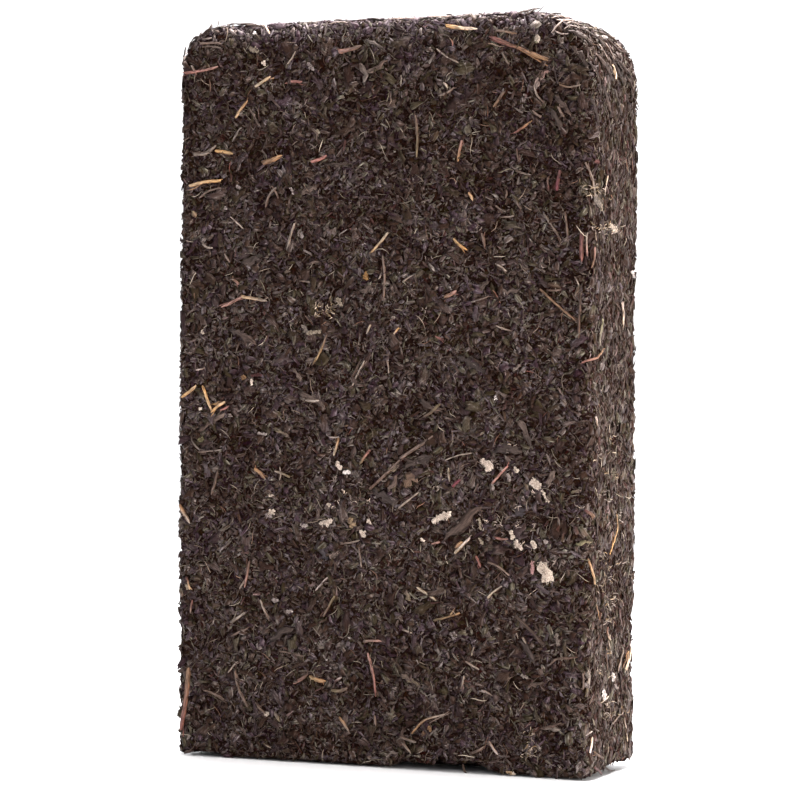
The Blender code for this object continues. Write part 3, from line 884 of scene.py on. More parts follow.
# Tufts of fine strands that the photograph shows: middle and reach in pixels, how many, and hues.
FROST_HUES = ("cream", "bone", "silver", "grey_tan", "grey")
DIM_HUES = ("silver", "tan", "grey", "dull_tan", "brown")
STRAW_HUES = ("straw", "gold", "olive", "cream")
SIDE_HUES = ("straw", "gold", "bone", "olive", "tan")
FROSTED = (
    ((505, 505), (58, 60), 17, FROST_HUES),
    ((345, 500), (48, 40), 9, FROST_HUES),
    ((608, 560), (14, 170), 22, SIDE_HUES),
    ((612, 714), (10, 10), 7, SIDE_HUES),
    ((326, 309), (11, 6), 8, STRAW_HUES),
    ((400, 380), (190, 330), 30, DIM_HUES),
    ((300, 90), (100, 50), 8, DIM_HUES),
    ((530, 750), (13, 13), 8, SIDE_HUES),
    ((600, 228), (14, 10), 6, SIDE_HUES),
    ((596, 190), (14, 10), 6, SIDE_HUES),
)
STRANDS_IN_TUFT = (4, 8)
TUFT_REACH = 2.6
FROST_WIDTH = (0.45, 0.95)
FROST_LENGTH = (1.8, 5.5)


def seen_spots(pixels):
    """Where the sight lines through these pixels first meet the mould's skin."""
    right, up, backward = (np.array(axis) for axis in camera_axes())
    eye = np.array(CAMERA_TARGET) + backward * CAMERA_DISTANCE
    pixels = np.array(pixels, dtype=float) - PHOTO_PIXELS / 2
    rays = pixels[:, :1] * right - pixels[:, 1:] * up - CAMERA_FOCAL_PIXELS * backward
    rays /= np.linalg.norm(rays, axis=1, keepdims=True)
    reach = np.full(len(rays), CAMERA_DISTANCE - 0.15)
    best = np.full(len(rays), 1.0)
    spots = eye + rays * reach[:, None]
    for _ in range(90):
        here = eye + rays * reach[:, None]
        gap = mould_distance(here)
        nearer = gap < best
        spots[nearer] = here[nearer]
        best = np.minimum(best, gap)
        reach += np.clip(gap, 0.00001, 0.02)
    return onto_mould(spots)


def run_over_skin(spots, spacing, most):
    """A line over the skin through these spots: its points, headings, sideways directions and normals."""
    stations = max(4, min(most, int(np.linalg.norm(spots[-1] - spots[0]) / spacing) + 2))
    spots = np.asarray(spots)
    steps = np.linalg.norm(np.diff(spots, axis=0), axis=1)
    along = np.concatenate(([0.0], np.cumsum(steps)))
    places = np.linspace(0.0, along[-1], stations)
    line = np.stack([np.interp(places, along, spots[:, axis]) for axis in range(3)], 1)
    for _ in range(3 if len(spots) > 2 else 0):
        line[1:-1] = (line[:-2] + 2 * line[1:-1] + line[2:]) / 4
    line = onto_mould(line)
    normals = outward(line)
    headings = np.gradient(line, axis=0)
    headings /= np.linalg.norm(headings, axis=1, keepdims=True)
    return line, headings, np.cross(normals, headings), normals, along[-1]


def mixed(start, end, share):
    """A colour between two."""
    return tuple(a + (b - a) * share for a, b in zip(start, end))


def lit(tone, light, palest=PALEST):
    """A colour made lighter or darker."""
    return tuple(min(palest, value * light) for value in tone[:3]) + (1.0,)


class Parts:
    """Vertices, faces and per-vertex values of many small solids, gathered for one mesh."""

    def __init__(self):
        self.points, self.faces, self.tones, self.grains, self.side_shades = [], [], [], [], []

    def add(self, points, faces, tones, grains=None, side_shades=None):
        start = len(self.points)
        self.points.extend(map(tuple, points))
        self.faces.extend(tuple(start + corner for corner in face) for face in faces)
        self.tones.extend(tones)
        self.grains.extend(grains or [(0.0, 0.0, 0.0)] * len(points))
        self.side_shades.extend(side_shades or [0.0] * len(points))

    def mesh(self, name, smooth):
        mesh = bpy.data.meshes.new(name)
        mesh.from_pydata([(x, y, max(z, LOWEST)) for x, y, z in self.points], [], self.faces)
        for key, kind, field, values in (
            ("tone", "FLOAT_COLOR", "color", self.tones),
            ("grain", "FLOAT_VECTOR", "vector", self.grains),
            ("rind", "FLOAT", "value", self.side_shades),
        ):
            mesh.attributes.new(key, kind, "POINT").data.foreach_set(field, np.array(values).ravel())
        bm = bmesh.new()
        bm.from_mesh(mesh)
        bmesh.ops.remove_doubles(bm, verts=bm.verts[:], dist=0.0000005)
        cut_in_triangles(bm)
        finished(bm, mesh)
        if smooth:
            mesh.shade_smooth()
        return mesh


def add_stalk(parts, rng, spots, width, start, end, flat=STEM_FLATNESS, lift=STEM_LIFT, rise=0.0):
    """A stalk laid over the skin through these spots, with its far end raised off it."""
    line, headings, across, normals, length = run_over_skin(spots, STEM_STATION, 12)
    stations = len(line)
    thin_start, thin_end = rng.uniform(0.55, 0.95), rng.uniform(0.35, 0.9)
    sway = rng.uniform(-STEM_SWAY, STEM_SWAY)
    salt = rng.uniform(0.0, 40.0)
    points, tones, grains, side_shades = [], [], [], []
    for station in range(stations):
        share = station / (stations - 1)
        body = min(1.0, thin_start + 3.5 * share, thin_end + 3.0 * (1.0 - share))
        half = width / 2 * body * rng.uniform(0.88, 1.1)
        wave = rng.uniform(-STEM_WAVE, STEM_WAVE)
        middle = line[station] + normals[station] * (lift + wave + rise * share * share)
        middle = middle + across[station] * sway * math.sin(math.pi * share)
        ends = station in (0, stations - 1)
        for side in range(STEM_SIDES):
            angle = math.tau * side / STEM_SIDES
            up, reach = math.cos(angle), math.sin(angle)
            rag = rng.uniform(-0.5, 0.5) * half if ends else 0.0
            points.append(
                middle
                + across[station] * half * reach * rng.uniform(0.9, 1.1)
                + normals[station] * half * up * flat
                + headings[station] * rag
            )
            jitter = rng.uniform(0.85, 1.12)
            tones.append(lit(mixed(start, end, min(1.0, max(0.0, share * 1.4 - 0.2))), jitter))
            grains.append((share * length + salt, reach * half, salt))
            # painted shade: how far round towards the side this vertex lies
            side_shades.append(abs(reach))
    faces = []
    for station in range(stations - 1):
        low = station * STEM_SIDES
        for side in range(STEM_SIDES):
            after = (side + 1) % STEM_SIDES
            faces.append((low + side, low + after, low + STEM_SIDES + after, low + STEM_SIDES + side))
    for station in (0, stations - 1):
        rim = [station * STEM_SIDES + side for side in range(STEM_SIDES)]
        centre = sum(points[corner] for corner in rim) / STEM_SIDES
        points.append(centre + headings[station] * width * (0.25 if station else -0.25))
        tones.append(tones[rim[0]])
        grains.append(grains[rim[0]])
        side_shades.append(0.2)
        for side in range(STEM_SIDES):
            faces.append((rim[side], rim[(side + 1) % STEM_SIDES], len(points) - 1))
    parts.add(points, faces, tones, grains, side_shades)


def add_stem(parts, rng, spots, width, start, end):
    """A stem with the splinters that lie beside it."""
    add_stalk(parts, rng, spots, width, start, end)
    if width < SPLINTERED_WIDTH:
        return
    first, last = spots[0], spots[-1]
    normal = outward(first[None])[0]
    for _ in range(rng.choice((1, 1, 2))):
        tip, root, tone = (last, first, end) if rng.random() < 0.5 else (first, last, start)
        run = tip - root
        beside = np.cross(normal, run / np.linalg.norm(run)) * width
        begin = root + run * rng.uniform(0.45, 0.8) + beside * rng.uniform(-0.3, 0.3)
        finish = root + run * rng.uniform(0.95, 1.2) + beside * rng.uniform(-1.3, 1.3)
        darker = mixed(tone, RIND_COLOUR, rng.uniform(0.1, 0.6))
        thin = width * rng.uniform(0.25, 0.45)
        add_stalk(parts, rng, [begin, finish], thin, darker, darker, SPLINTER_FLATNESS)


def add_leaf(parts, rng, spots, width, start, end, rise=0.0):
    """A torn piece of leaf on the skin: wrinkled, ragged, thin, with both faces split alike."""
    line, headings, across, normals, length = run_over_skin(spots, LEAF_STATION, 9)
    last_station, last_column = len(line) - 1, LEAF_COLUMNS - 1
    fold = rng.uniform(-0.10, 0.22) * width
    salt = rng.uniform(0.0, 40.0)
    fullness = [rng.uniform(0.55, 1.0) for _ in line]
    shift = [rng.uniform(-0.14, 0.14) * width for _ in line]
    points, tones, grains, side_shades = [], [], [], []
    each = len(line) * LEAF_COLUMNS
    for side in (1, -1):
        for spot in range(each):
            station, column = divmod(spot, LEAF_COLUMNS)
            share = station / last_station
            half = width / 2 * fullness[station] * (0.45 + 0.55 * math.sin(math.pi * share) ** 0.5)
            reach = 2.0 * column / last_column - 1.0
            ends, edges = station in (0, last_station), column in (0, last_column)
            own = random.Random(f"{salt} {station} {column}")
            rag = own.uniform(-LEAF_RAG, LEAF_RAG) * width if ends or edges else 0.0
            height = LEAF_LIFT + own.uniform(-LEAF_WAVE, LEAF_WAVE) - fold * (reach * reach - 0.35)
            height += rise * share * share + (0.0 if ends or edges else LEAF_HALF_THICKNESS * side)
            points.append(
                line[station]
                + across[station] * (shift[station] + reach * half + rag * edges)
                + headings[station] * rag * ends
                + normals[station] * height
            )
            # painted highlight at the rim and ends
            light = own.uniform(0.62, 1.12) * (LEAF_RIM_HIGHLIGHT if ends or edges else 1.0)
            tones.append(lit(mixed(start, end, share), light, PALEST_LEAF))
            grains.append((share * length + salt, reach * half, salt))
            # painted shade: more towards the leaf's long edges
            side_shades.append(0.12 + 0.3 * abs(reach))
            if side < 0 and (ends or edges):
                points[-1] = points[spot]
    faces = []
    for spot in range(each - LEAF_COLUMNS):
        if spot % LEAF_COLUMNS < last_column:
            quad = (spot, spot + 1, spot + LEAF_COLUMNS + 1, spot + LEAF_COLUMNS)
            faces.append(quad)
            faces.append(tuple(each + corner for corner in reversed(quad)))
    parts.add(points, faces, tones, grains, side_shades)


def random_spot(rng, face):
    """A spot on one face of the block, and a direction along it."""
    turn = rng.uniform(0.0, math.tau)
    if face == "back":
        spot = (rng.uniform(-0.46, 0.46) * WIDTH, THICKNESS / 2, rng.uniform(0.04, 0.96) * HEIGHT)
        heading = (math.cos(turn), 0.0, math.sin(turn))
    elif face == "side":
        across = rng.uniform(-0.4, 0.4) * THICKNESS
        spot = (-WIDTH / 2, across, rng.uniform(0.04, 0.94) * HEIGHT)
        heading = (0.0, 0.3 * math.cos(turn), 1.0)
    else:
        spot = (rng.uniform(-0.4, 0.4) * WIDTH, rng.uniform(-0.4, 0.4) * THICKNESS, HEIGHT)
        heading = (1.0, 0.35 * math.cos(turn), 0.0)
    return np.array(spot), np.array(heading) / np.linalg.norm(heading)


def frost_strands(rng):
    """Fine pale strands in tufts, given as stems are."""
    rows = []
    for (x, y), (wide, high), count, hues in FROSTED:
        for _ in range(count):
            tuft = (x + rng.gauss(0.0, 0.5) * wide, y + rng.gauss(0.0, 0.5) * high)
            for _ in range(rng.randint(*STRANDS_IN_TUFT)):
                line = [tuple(value + rng.gauss(0.0, TUFT_REACH) for value in tuft)]
                turn, length = rng.uniform(0.0, math.tau), rng.uniform(*FROST_LENGTH)
                for way in (turn, turn + rng.uniform(-1.0, 1.0)):
                    x_now, y_now = line[-1]
                    line.append((x_now + math.cos(way) * length / 2, y_now + math.sin(way) * length / 2))
                hue = rng.choice(hues)
                rows.append((hue, rng.choice((hue, "grey")), rng.uniform(*FROST_WIDTH), *line))
    return rows


def stems_mesh():
    """Stems and leaf pieces: those the photograph shows, and others like them on the faces it doesn't."""
    rng = random.Random(31)
    parts = Parts()
    strands = frost_strands(rng)
    rows = [*SHOWN_STEMS, *strands, *SHOWN_LEAVES, *EDGE_CURLS]
    spots = iter(seen_spots([pixel for row in rows for pixel in row if isinstance(pixel, tuple)]))

    def lay(add, line, width, start, end, *way):
        add(parts, rng, line, width / PIXELS_PER_METRE, STALK_HUES[start], STALK_HUES[end], *way)

    for start, end, width, *pixels in SHOWN_STEMS:
        lay(add_stem, [next(spots) for _ in pixels], width, start, end)
    for start, end, width, *pixels in strands:
        way = (SPLINTER_FLATNESS, rng.uniform(*STRAND_LIFT))
        lay(add_stalk, [next(spots) for _ in pixels], width, start, end, *way)
    for start, end, width, *pixels in SHOWN_LEAVES:
        lay(add_leaf, [next(spots) for _ in pixels], width, start, end)
    for tone, width, rise, *pixels in EDGE_CURLS:
        leafy = width > LEAF_CURL_PIXELS
        add, way = (add_leaf, (rise,)) if leafy else (add_stalk, (CURL_FLATNESS, CURL_LIFT, rise))
        lay(add, [next(spots) for _ in pixels], width, tone, tone, *way)
    for face, stems, leaves in (
        ("back", BACK_STEMS, BACK_LEAVES),
        ("side", SIDE_STEMS, SIDE_LEAVES),
        ("top", TOP_STEMS, TOP_LEAVES),
    ):
        for number in range(stems + leaves):
            table, add = (SHOWN_STEMS, add_stem) if number < stems else (SHOWN_LEAVES, add_leaf)
            start, end, width, first, *_, last = rng.choice(table)
            spot, heading = random_spot(rng, face)
            heading = heading * math.dist(first, last) / PIXELS_PER_METRE * rng.uniform(0.8, 1.2) / 2
            lay(add, [spot - heading, spot + heading], width, start, end)
    return parts.mesh("stems", smooth=True)


def add_granule(parts, rng, middle, axes, size, tone):
    """A knobbly grain with eight facets."""
    knobs = [middle + axis * size * rng.uniform(0.6, 1.3) * sign for axis in axes for sign in (1, -1)]
    sides = [(0, 2, 4), (2, 1, 4), (1, 3, 4), (3, 0, 4), (2, 0, 5), (1, 2, 5), (3, 1, 5), (0, 3, 5)]
    parts.add(knobs, sides, [tone] * len(knobs))


def add_crust(parts, rng, centre, reach, along, across, normal, tone):
    """A low ragged dome of pith."""
    rim = []
    for corner in range(CRUST_CORNERS):
        angle = math.tau * corner / CRUST_CORNERS
        out = reach * rng.uniform(0.6, 1.15)
        spot = centre + (along * math.cos(angle) * FLECK_STRETCH + across * math.sin(angle)) * out
        rim.append(onto_mould(spot[None])[0] + normal * rng.uniform(0.0, CRUST_RIM_LIFT))
    middle = onto_mould(centre[None])[0]
    crown = middle + normal * (FLECK_LIFT + CRUST_DOME * FLECK_RISE)
    faces = []
    for corner in range(CRUST_CORNERS):
        after = (corner + 1) % CRUST_CORNERS
        faces.append((corner, after, CRUST_CORNERS))
        faces.append((after, corner, CRUST_CORNERS + 1))
    tones = [lit(tone, rng.uniform(0.6, 0.95)) for _ in rim] + [lit(tone, 1.0)] * 2
    parts.add([*rim, crown, middle - normal * CRUST_DEPTH], faces, tones)


def add_fleck(parts, rng, first, last, width, tone):
    """A pale crust between two spots: ragged lobes of fine granules that thin out at the edge."""
    run = last - first
    length = np.linalg.norm(run)
    along = run / length
    normal = outward(((first + last) / 2)[None])[0]
    across = np.cross(normal, along)
    lobes = []
    count = max(2, round(1.8 * length / width) + 1)
    for number in range(count):
        middle = first + run * (number + rng.uniform(0.2, 0.8)) / count
        middle = middle + across * rng.uniform(-0.16, 0.16) * width
        lobes.append((middle, width * rng.uniform(0.36, 0.54)))
    for _ in range(rng.choice((1, 2))):
        beside = rng.choice((-1, 1)) * rng.uniform(0.35, 0.6) * width
        lobes.append((first + run * rng.random() + across * beside, width * rng.uniform(0.14, 0.24)))
    for centre, reach in lobes:
        add_crust(parts, rng, centre, reach, along, across, normal, tone)
    granules = int(max(20, min(320, (length + width) * width * FLECK_GRAINS_PER_AREA)))
    for _ in range(granules):
        centre, reach = rng.choice(lobes)
        angle, out = rng.uniform(0.0, math.tau), rng.random() ** 0.5 * rng.uniform(0.75, 1.1)
        spot = centre + (along * math.cos(angle) * FLECK_STRETCH + across * math.sin(angle)) * reach * out
        spot = onto_mould(spot[None])[0] + normal * (FLECK_LIFT + FLECK_RISE * max(0.0, 1.0 - out * out))
        light = rng.uniform(0.66, 1.08) * (1.0 - 0.2 * min(1.0, out))
        own = lit(mixed(tone, RIND_COLOUR, rng.choice(GRAIN_STAINS)), light)
        add_granule(parts, rng, spot, (along, across, normal), rng.uniform(*FLECK_GRAIN_SIZE), own)


def flecks_mesh():
    """Pale flecks: those the photograph shows, and others like them on the back and the left side."""
    rng = random.Random(41)
    parts = Parts()
    spots = iter(seen_spots([pixel for *_, first, last in SHOWN_FLECKS for pixel in (first, last)]))
    for colour, width, _, _ in SHOWN_FLECKS:
        width = max(FLECK_LEAST_PIXELS, width) / PIXELS_PER_METRE
        add_fleck(parts, rng, next(spots), next(spots), width, STALK_HUES[colour])
    for _ in range(BACK_FLECKS):
        colour, width, first, last = rng.choice(SHOWN_FLECKS)
        spot, heading = random_spot(rng, rng.choice(("back", "back", "back", "side")))
        heading = heading * math.dist(first, last) / PIXELS_PER_METRE
        add_fleck(parts, rng, spot, spot + heading, width / PIXELS_PER_METRE, STALK_HUES[colour])
    return parts.mesh("pale_flecks", smooth=False)


# ---------------------------------------------------------------- node helpers

RELIEF_STRENGTH = 0.8


def add_node(tree, kind, inputs=None, **settings):
    """A node with its settings, and each named or numbered input linked to a socket or set to a value."""
    node = tree.nodes.new(kind)
    for name, value in settings.items():
        setattr(node, name, value)
    for key, value in (inputs or {}).items():
        socket = node.inputs[key]
        if isinstance(value, bpy.types.NodeSocket):
            tree.links.new(value, socket)
        else:
            socket.default_value = value
    return node


def new_group(name, kind, inputs, outputs):
    """A node group with these inputs and outputs, as its tree and the sockets at its two ends."""
    tree = bpy.data.node_groups.new(name, kind)
    for key, socket, value in inputs:
        made = tree.interface.new_socket(key, in_out="INPUT", socket_type=f"NodeSocket{socket}")
        if value is not None:
            made.default_value = value
    for key, socket in outputs:
        tree.interface.new_socket(key, in_out="OUTPUT", socket_type=f"NodeSocket{socket}")
    return tree, tree.nodes.new("NodeGroupInput").outputs, tree.nodes.new("NodeGroupOutput").inputs


def use(tree, group, **inputs):
    """What a group of shader nodes puts out."""
    return add_node(tree, "ShaderNodeGroup", inputs, node_tree=group).outputs


def maths(tree, operation, *values):
    """The result of one Math node."""
    return add_node(tree, "ShaderNodeMath", dict(enumerate(values)), operation=operation).outputs[0]


def vector_maths(tree, operation, *values):
    """The result of one Vector Math node."""
    return add_node(tree, "ShaderNodeVectorMath", dict(enumerate(values)), operation=operation).outputs[0]


def scaled(tree, vector, scale):
    """A vector or colour, made so many times as large."""
    inputs = {0: vector, "Scale": scale}
    return add_node(tree, "ShaderNodeVectorMath", inputs, operation="SCALE").outputs[0]


def even(tree, value):
    """A vector of one value three times."""
    return add_node(tree, "ShaderNodeCombineXYZ", {0: value, 1: value, 2: value}).outputs[0]


def axes_of(tree, vector):
    """The three values in a vector."""
    return add_node(tree, "ShaderNodeSeparateXYZ", {0: vector}).outputs


def channels_of(tree, colour):
    """The three values in a colour."""
    return add_node(tree, "ShaderNodeSeparateColor", {0: colour}).outputs


def blend(tree, share, start, end):
    """A value between two."""
    return add_node(tree, "ShaderNodeMix", {0: share, 2: start, 3: end}).outputs[0]


def colour_blend(tree, share, start, end):
    """A colour between two."""
    inputs = {0: share, 6: start, 7: end}
    return add_node(tree, "ShaderNodeMix", inputs, data_type="RGBA").outputs[2]


def carried(tree, value, start, end, low=0.0, high=1.0):
    """A value carried over from one range to another, and held at its ends."""
    inputs = {0: value, 1: start, 2: end, 3: low, 4: high}
    return add_node(tree, "ShaderNodeMapRange", inputs).outputs[0]


def swung(tree, value, reach):
    """How far a value from 0 to 1 swings to either side, with this whole reach."""
    return maths(tree, "MULTIPLY", maths(tree, "SUBTRACT", value, 0.5), reach)


def noise_of(tree, place, scale, detail, roughness):
    """Solid noise, as a value and as a colour."""
    inputs = {"Vector": place, "Scale": scale, "Detail": detail, "Roughness": roughness}
    return add_node(tree, "ShaderNodeTexNoise", inputs).outputs


def ramp_of(tree, factor, stops):
    """A colour from a ramp with these stops, each a place and a colour."""
    node = add_node(tree, "ShaderNodeValToRGB", {0: factor})
    for _ in range(len(stops) - 2):
        node.color_ramp.elements.new(0.5)
    for element, (place, colour) in zip(node.color_ramp.elements, stops):
        element.position = place
        element.color = colour
    return node.outputs[0]


def attribute(tree, name, output="Fac"):
    """A named attribute of the mesh."""
    return add_node(tree, "ShaderNodeAttribute", attribute_name=name).outputs[output]


def object_place(tree):
    """The place on the object."""
    return add_node(tree, "ShaderNodeTexCoord").outputs["Object"]


# ---------------------------------------------------------------- the tree that presses pieces onto the skin

NARROW_FREE_LIFT = 0.0005
BROAD_FREE_LIFT = 0.0011
BROAD_START = 0.55
BROAD_REACH = 0.40
SQUEEZE = 0.75
FOOT_CLEARED = 0.85
NARROW_BELOW = 0.96
WHOLLY_NARROW = 0.55
UNDERSIDE = -0.5
SIZE_SKEW = 1.6

SCATTER_INPUTS = (
    ("Skin", "Geometry", None),
    ("Shapes", "Collection", None),
    ("Kinds of Shape", "Int", 8),
    ("Per Square Metre", "Float", 10000.0),
    ("Share on Narrow Sides", "Float", 1.0),
    ("Size on Narrow Sides", "Float", 0.88),
    ("Least Length", "Float", 0.002),
    ("Greatest Length", "Float", 0.005),
    ("Least Slenderness", "Float", 0.3),
    ("Greatest Slenderness", "Float", 0.6),
    ("Relief", "Float", 1.0),
    ("Least Lift", "Float", 0.0),
    ("Greatest Lift", "Float", 0.0005),
    ("Lift on Narrow Sides", "Float", 0.45),
    ("Tilt", "Float", 0.15),
    ("Tilt on Narrow Sides", "Float", 0.5),
    ("Stray on Narrow Sides", "Float", 0.5),
    ("Seed", "Int", 1),
    ("Finish", "Material", None),
)


def random_between(tree, seed, low, high, salt):
    """A random number for each piece, between two values, sockets or both."""
    seed = maths(tree, "ADD", seed, salt)
    node = add_node(tree, "FunctionNodeRandomValue", {"Seed": seed}, data_type="FLOAT")
    for name, value in (("Min", low), ("Max", high)):
        socket = next(s for s in node.inputs if s.name == name and s.type == "VALUE")
        if isinstance(value, bpy.types.NodeSocket):
            tree.links.new(value, socket)
        else:
            socket.default_value = value
    return next(s for s in node.outputs if s.type == "VALUE" and s.enabled)


def narrowness(tree, sideways):
    """How much a normal belongs to the narrow sides, from its value along the thickness."""
    return carried(tree, maths(tree, "ABSOLUTE", sideways), NARROW_BELOW, WHOLLY_NARROW)


def scatter_tree():
    """Presses shapes onto a skin: any way round on the broad faces, along the layers on the narrow ones."""
    outputs = (("Pieces", "Geometry"),)
    tree, given, out = new_group("press_onto_skin", "GeometryNodeTree", SCATTER_INPUTS, outputs)

    def drawn(low, high, salt):
        return random_between(tree, given["Seed"], low, high, salt)

    normal = axes_of(tree, add_node(tree, "GeometryNodeInputNormal").outputs[0])
    share = blend(tree, narrowness(tree, normal["Y"]), 1.0, given["Share on Narrow Sides"])
    density = maths(tree, "MULTIPLY", given["Per Square Metre"], share)
    seen = maths(tree, "GREATER_THAN", normal["Z"], UNDERSIDE)
    inputs = {
        "Mesh": given["Skin"],
        "Density": maths(tree, "MULTIPLY", density, seen),
        "Seed": given["Seed"],
    }
    spread = add_node(tree, "GeometryNodeDistributePointsOnFaces", inputs).outputs
    normal = axes_of(tree, spread["Normal"])
    keep = add_node(tree, "GeometryNodeCaptureAttribute", {0: spread["Points"]})
    for name, kind, value in (
        ("Narrow", "FLOAT", narrowness(tree, normal["Y"])),
        ("Level", "FLOAT", maths(tree, "ABSOLUTE", normal["Z"])),
        ("Up", "VECTOR", spread["Normal"]),
    ):
        keep.capture_items.new(kind, name)
        tree.links.new(value, keep.inputs[name])
    points, narrow, level, up = (keep.outputs[key] for key in (0, "Narrow", "Level", "Up"))

    lift = drawn(given["Least Lift"], given["Greatest Lift"], 11)
    lift = maths(tree, "MULTIPLY", lift, blend(tree, narrow, 1.0, given["Lift on Narrow Sides"]))
    inputs = {"Geometry": points, "Offset": scaled(tree, up, lift)}
    points = add_node(tree, "GeometryNodeSetPosition", inputs).outputs[0]

    layers = add_node(tree, "ShaderNodeCombineXYZ", {"X": level, "Z": maths(tree, "SUBTRACT", 1.0, level)})
    way = add_node(tree, "FunctionNodeAlignRotationToVector", {"Vector": up}, axis="Z").outputs[0]
    inputs = {"Rotation": way, "Vector": layers.outputs[0]}
    way = add_node(tree, "FunctionNodeAlignRotationToVector", inputs, axis="X", pivot_axis="Z").outputs[0]
    stray = blend(tree, narrow, math.pi, given["Stray on Narrow Sides"])
    tilt = blend(tree, narrow, given["Tilt"], given["Tilt on Narrow Sides"])
    spin = maths(tree, "MULTIPLY", drawn(-1.0, 1.0, 12), stray)
    roll = maths(tree, "MULTIPLY", drawn(-1.0, 1.0, 13), tilt)
    pitch = maths(tree, "MULTIPLY", drawn(-1.0, 1.0, 14), given["Tilt"])
    for angles in ({"Z": spin}, {"X": roll, "Y": pitch}):
        angles = add_node(tree, "ShaderNodeCombineXYZ", angles).outputs[0]
        turn = add_node(tree, "FunctionNodeEulerToRotation", {0: angles}).outputs[0]
        inputs = {0: way, 1: turn}
        way = add_node(tree, "FunctionNodeRotateRotation", inputs, rotation_space="LOCAL").outputs[0]

    share = maths(tree, "POWER", drawn(0.0, 1.0, 15), SIZE_SKEW)
    length = blend(tree, share, given["Least Length"], given["Greatest Length"])
    length = maths(tree, "MULTIPLY", length, blend(tree, narrow, 1.0, given["Size on Narrow Sides"]))
    slenderness = drawn(given["Least Slenderness"], given["Greatest Slenderness"], 16)
    width = maths(tree, "MULTIPLY", length, slenderness)
    depth = maths(tree, "MULTIPLY", width, given["Relief"])
    size = add_node(tree, "ShaderNodeCombineXYZ", {"X": length, "Y": width, "Z": depth}).outputs[0]

    inputs = {"Collection": given["Shapes"], "Separate Children": True, "Reset Children": True}
    kept = add_node(tree, "GeometryNodeCollectionInfo", inputs).outputs[0]
    inputs = {
        "Points": points,
        "Instance": kept,
        "Pick Instance": True,
        "Instance Index": maths(tree, "FLOOR", drawn(0.0, given["Kinds of Shape"], 17)),
        "Rotation": way,
        "Scale": size,
    }
    pieces = add_node(tree, "GeometryNodeInstanceOnPoints", inputs).outputs[0]
    marks = {"tint": drawn(0.0, 1.0, 18), "shade": drawn(0.0, 1.0, 19), "narrow": narrow}
    for name, value in marks.items():
        inputs = {"Geometry": pieces, "Name": name, "Value": value}
        kind = "GeometryNodeStoreNamedAttribute"
        pieces = add_node(tree, kind, inputs, data_type="FLOAT", domain="INSTANCE").outputs[0]
    pieces = add_node(tree, "GeometryNodeRealizeInstances", {0: pieces}).outputs[0]
    inputs = {"Geometry": pieces, "Material": given["Finish"]}
    pieces = add_node(tree, "GeometryNodeSetMaterial", inputs).outputs[0]
    tree.links.new(pieces, out["Pieces"])
    return tree


def press(mesh):
    """Squeezes what stands off the mould back towards it, most at the narrow sides and their edges."""
    places = places_of(mesh)
    normals = outward(places)
    broad = np.clip((np.abs(normals[:, 1]) - BROAD_START) / BROAD_REACH, 0.0, 1.0)
    free = NARROW_FREE_LIFT + (BROAD_FREE_LIFT - NARROW_FREE_LIFT) * broad
    over = np.maximum(mould_distance(places) - free, 0.0) * SQUEEZE
    places -= normals * over[:, None]
    clear_foot(places, FOOT_CLEARED, 0.0)
    places[:, 2] = np.maximum(places[:, 2], LOWEST)
    move_to(mesh, places)


def pressed_on(name, tree, skin, smooth, **values):
    """One piece of many shapes pressed onto the skin, as a plain mesh."""
    holder = show(f"{name}_source", skin.data)
    modifier = holder.modifiers.new("press_onto_skin", "NODES")
    modifier.node_group = tree
    sockets = {item.name: item.identifier for item in tree.interface.items_tree}
    for key, value in values.items():
        modifier[sockets[key.replace("_", " ")]] = value
    graph = bpy.context.evaluated_depsgraph_get()
    mesh = bpy.data.meshes.new_from_object(holder.evaluated_get(graph), depsgraph=graph)
    mesh.name = name
    holder.modifiers.remove(modifier)
    bpy.data.objects.remove(holder)
    press(mesh)
    if smooth:
        mesh.shade_smooth()
    else:
        mesh.shade_flat()
    return show(name, mesh)


# ---------------------------------------------------------------- finishes

LEAF_CASTS = (
    # place along the tint, and how far red, green and blue stand off an even grey of 255
    (0.0, (8, -3, 2)),
    (0.16, (6, -2, -1)),
    (0.34, (9, -1, -6)),
    (0.54, (8, -2, -4)),
    (0.72, (6, 0, -8)),
    (0.84, (5, 0, -10)),
    (0.93, (11, -1, -8)),
    (1.0, (13, -4, -6)),
)
CAST_UNIT = 128.0
CAST_IN_DARKS = 1.18
CAST_IN_LIGHTS = 0.93
DARK_LEVEL = 0.08
LIGHT_LEVEL = 0.30
LEAST_LIGHT = 0.015
DISPLAY_GAMMA = 2.2
SHADE_BIAS = 1.5
HALVES = (0.5, 0.5, 0.5)
THREAD_HUES = (
    (0.0, srgb(108, 62, 56)),
    (0.05, srgb(134, 96, 78)),
    (0.2, srgb(124, 104, 92)),
    (0.5, srgb(146, 130, 116)),
    (0.82, srgb(186, 172, 156)),
    (1.0, srgb(120, 112, 90)),
)
THREAD_BIAS = 2.3
# On the narrow sides the threads are lighter, partly from the edge-on layers' own colour and partly as
# painted light.
NARROW_THREAD_PALENESS_AND_PAINTED_LIGHT = -0.8
THREAD_LIGHT = (0.25, 1.1)
REGION_SCALE = 95.0
REGION_SHADE_SWING = 1.0
REGION_TINT_SWING = 0.7
# Painted light from above: near the top the leaf is made paler and greyer, as where light from overhead
# falls on it.
TOP_PAINTED_LIGHT_ZONE = (HEIGHT - 0.0085, HEIGHT + 0.0005)
TOP_PAINTED_LIGHT = 0.62
TOP_PAINTED_LIGHT_TINT = -0.35
# Painted shade: the leaf is made darker from 0.13 m up to 0.21 m, and stays that much darker above.
UPPER_PAINTED_SHADE_ZONE = (0.13, 0.21)
UPPER_PAINTED_SHADE = -0.07
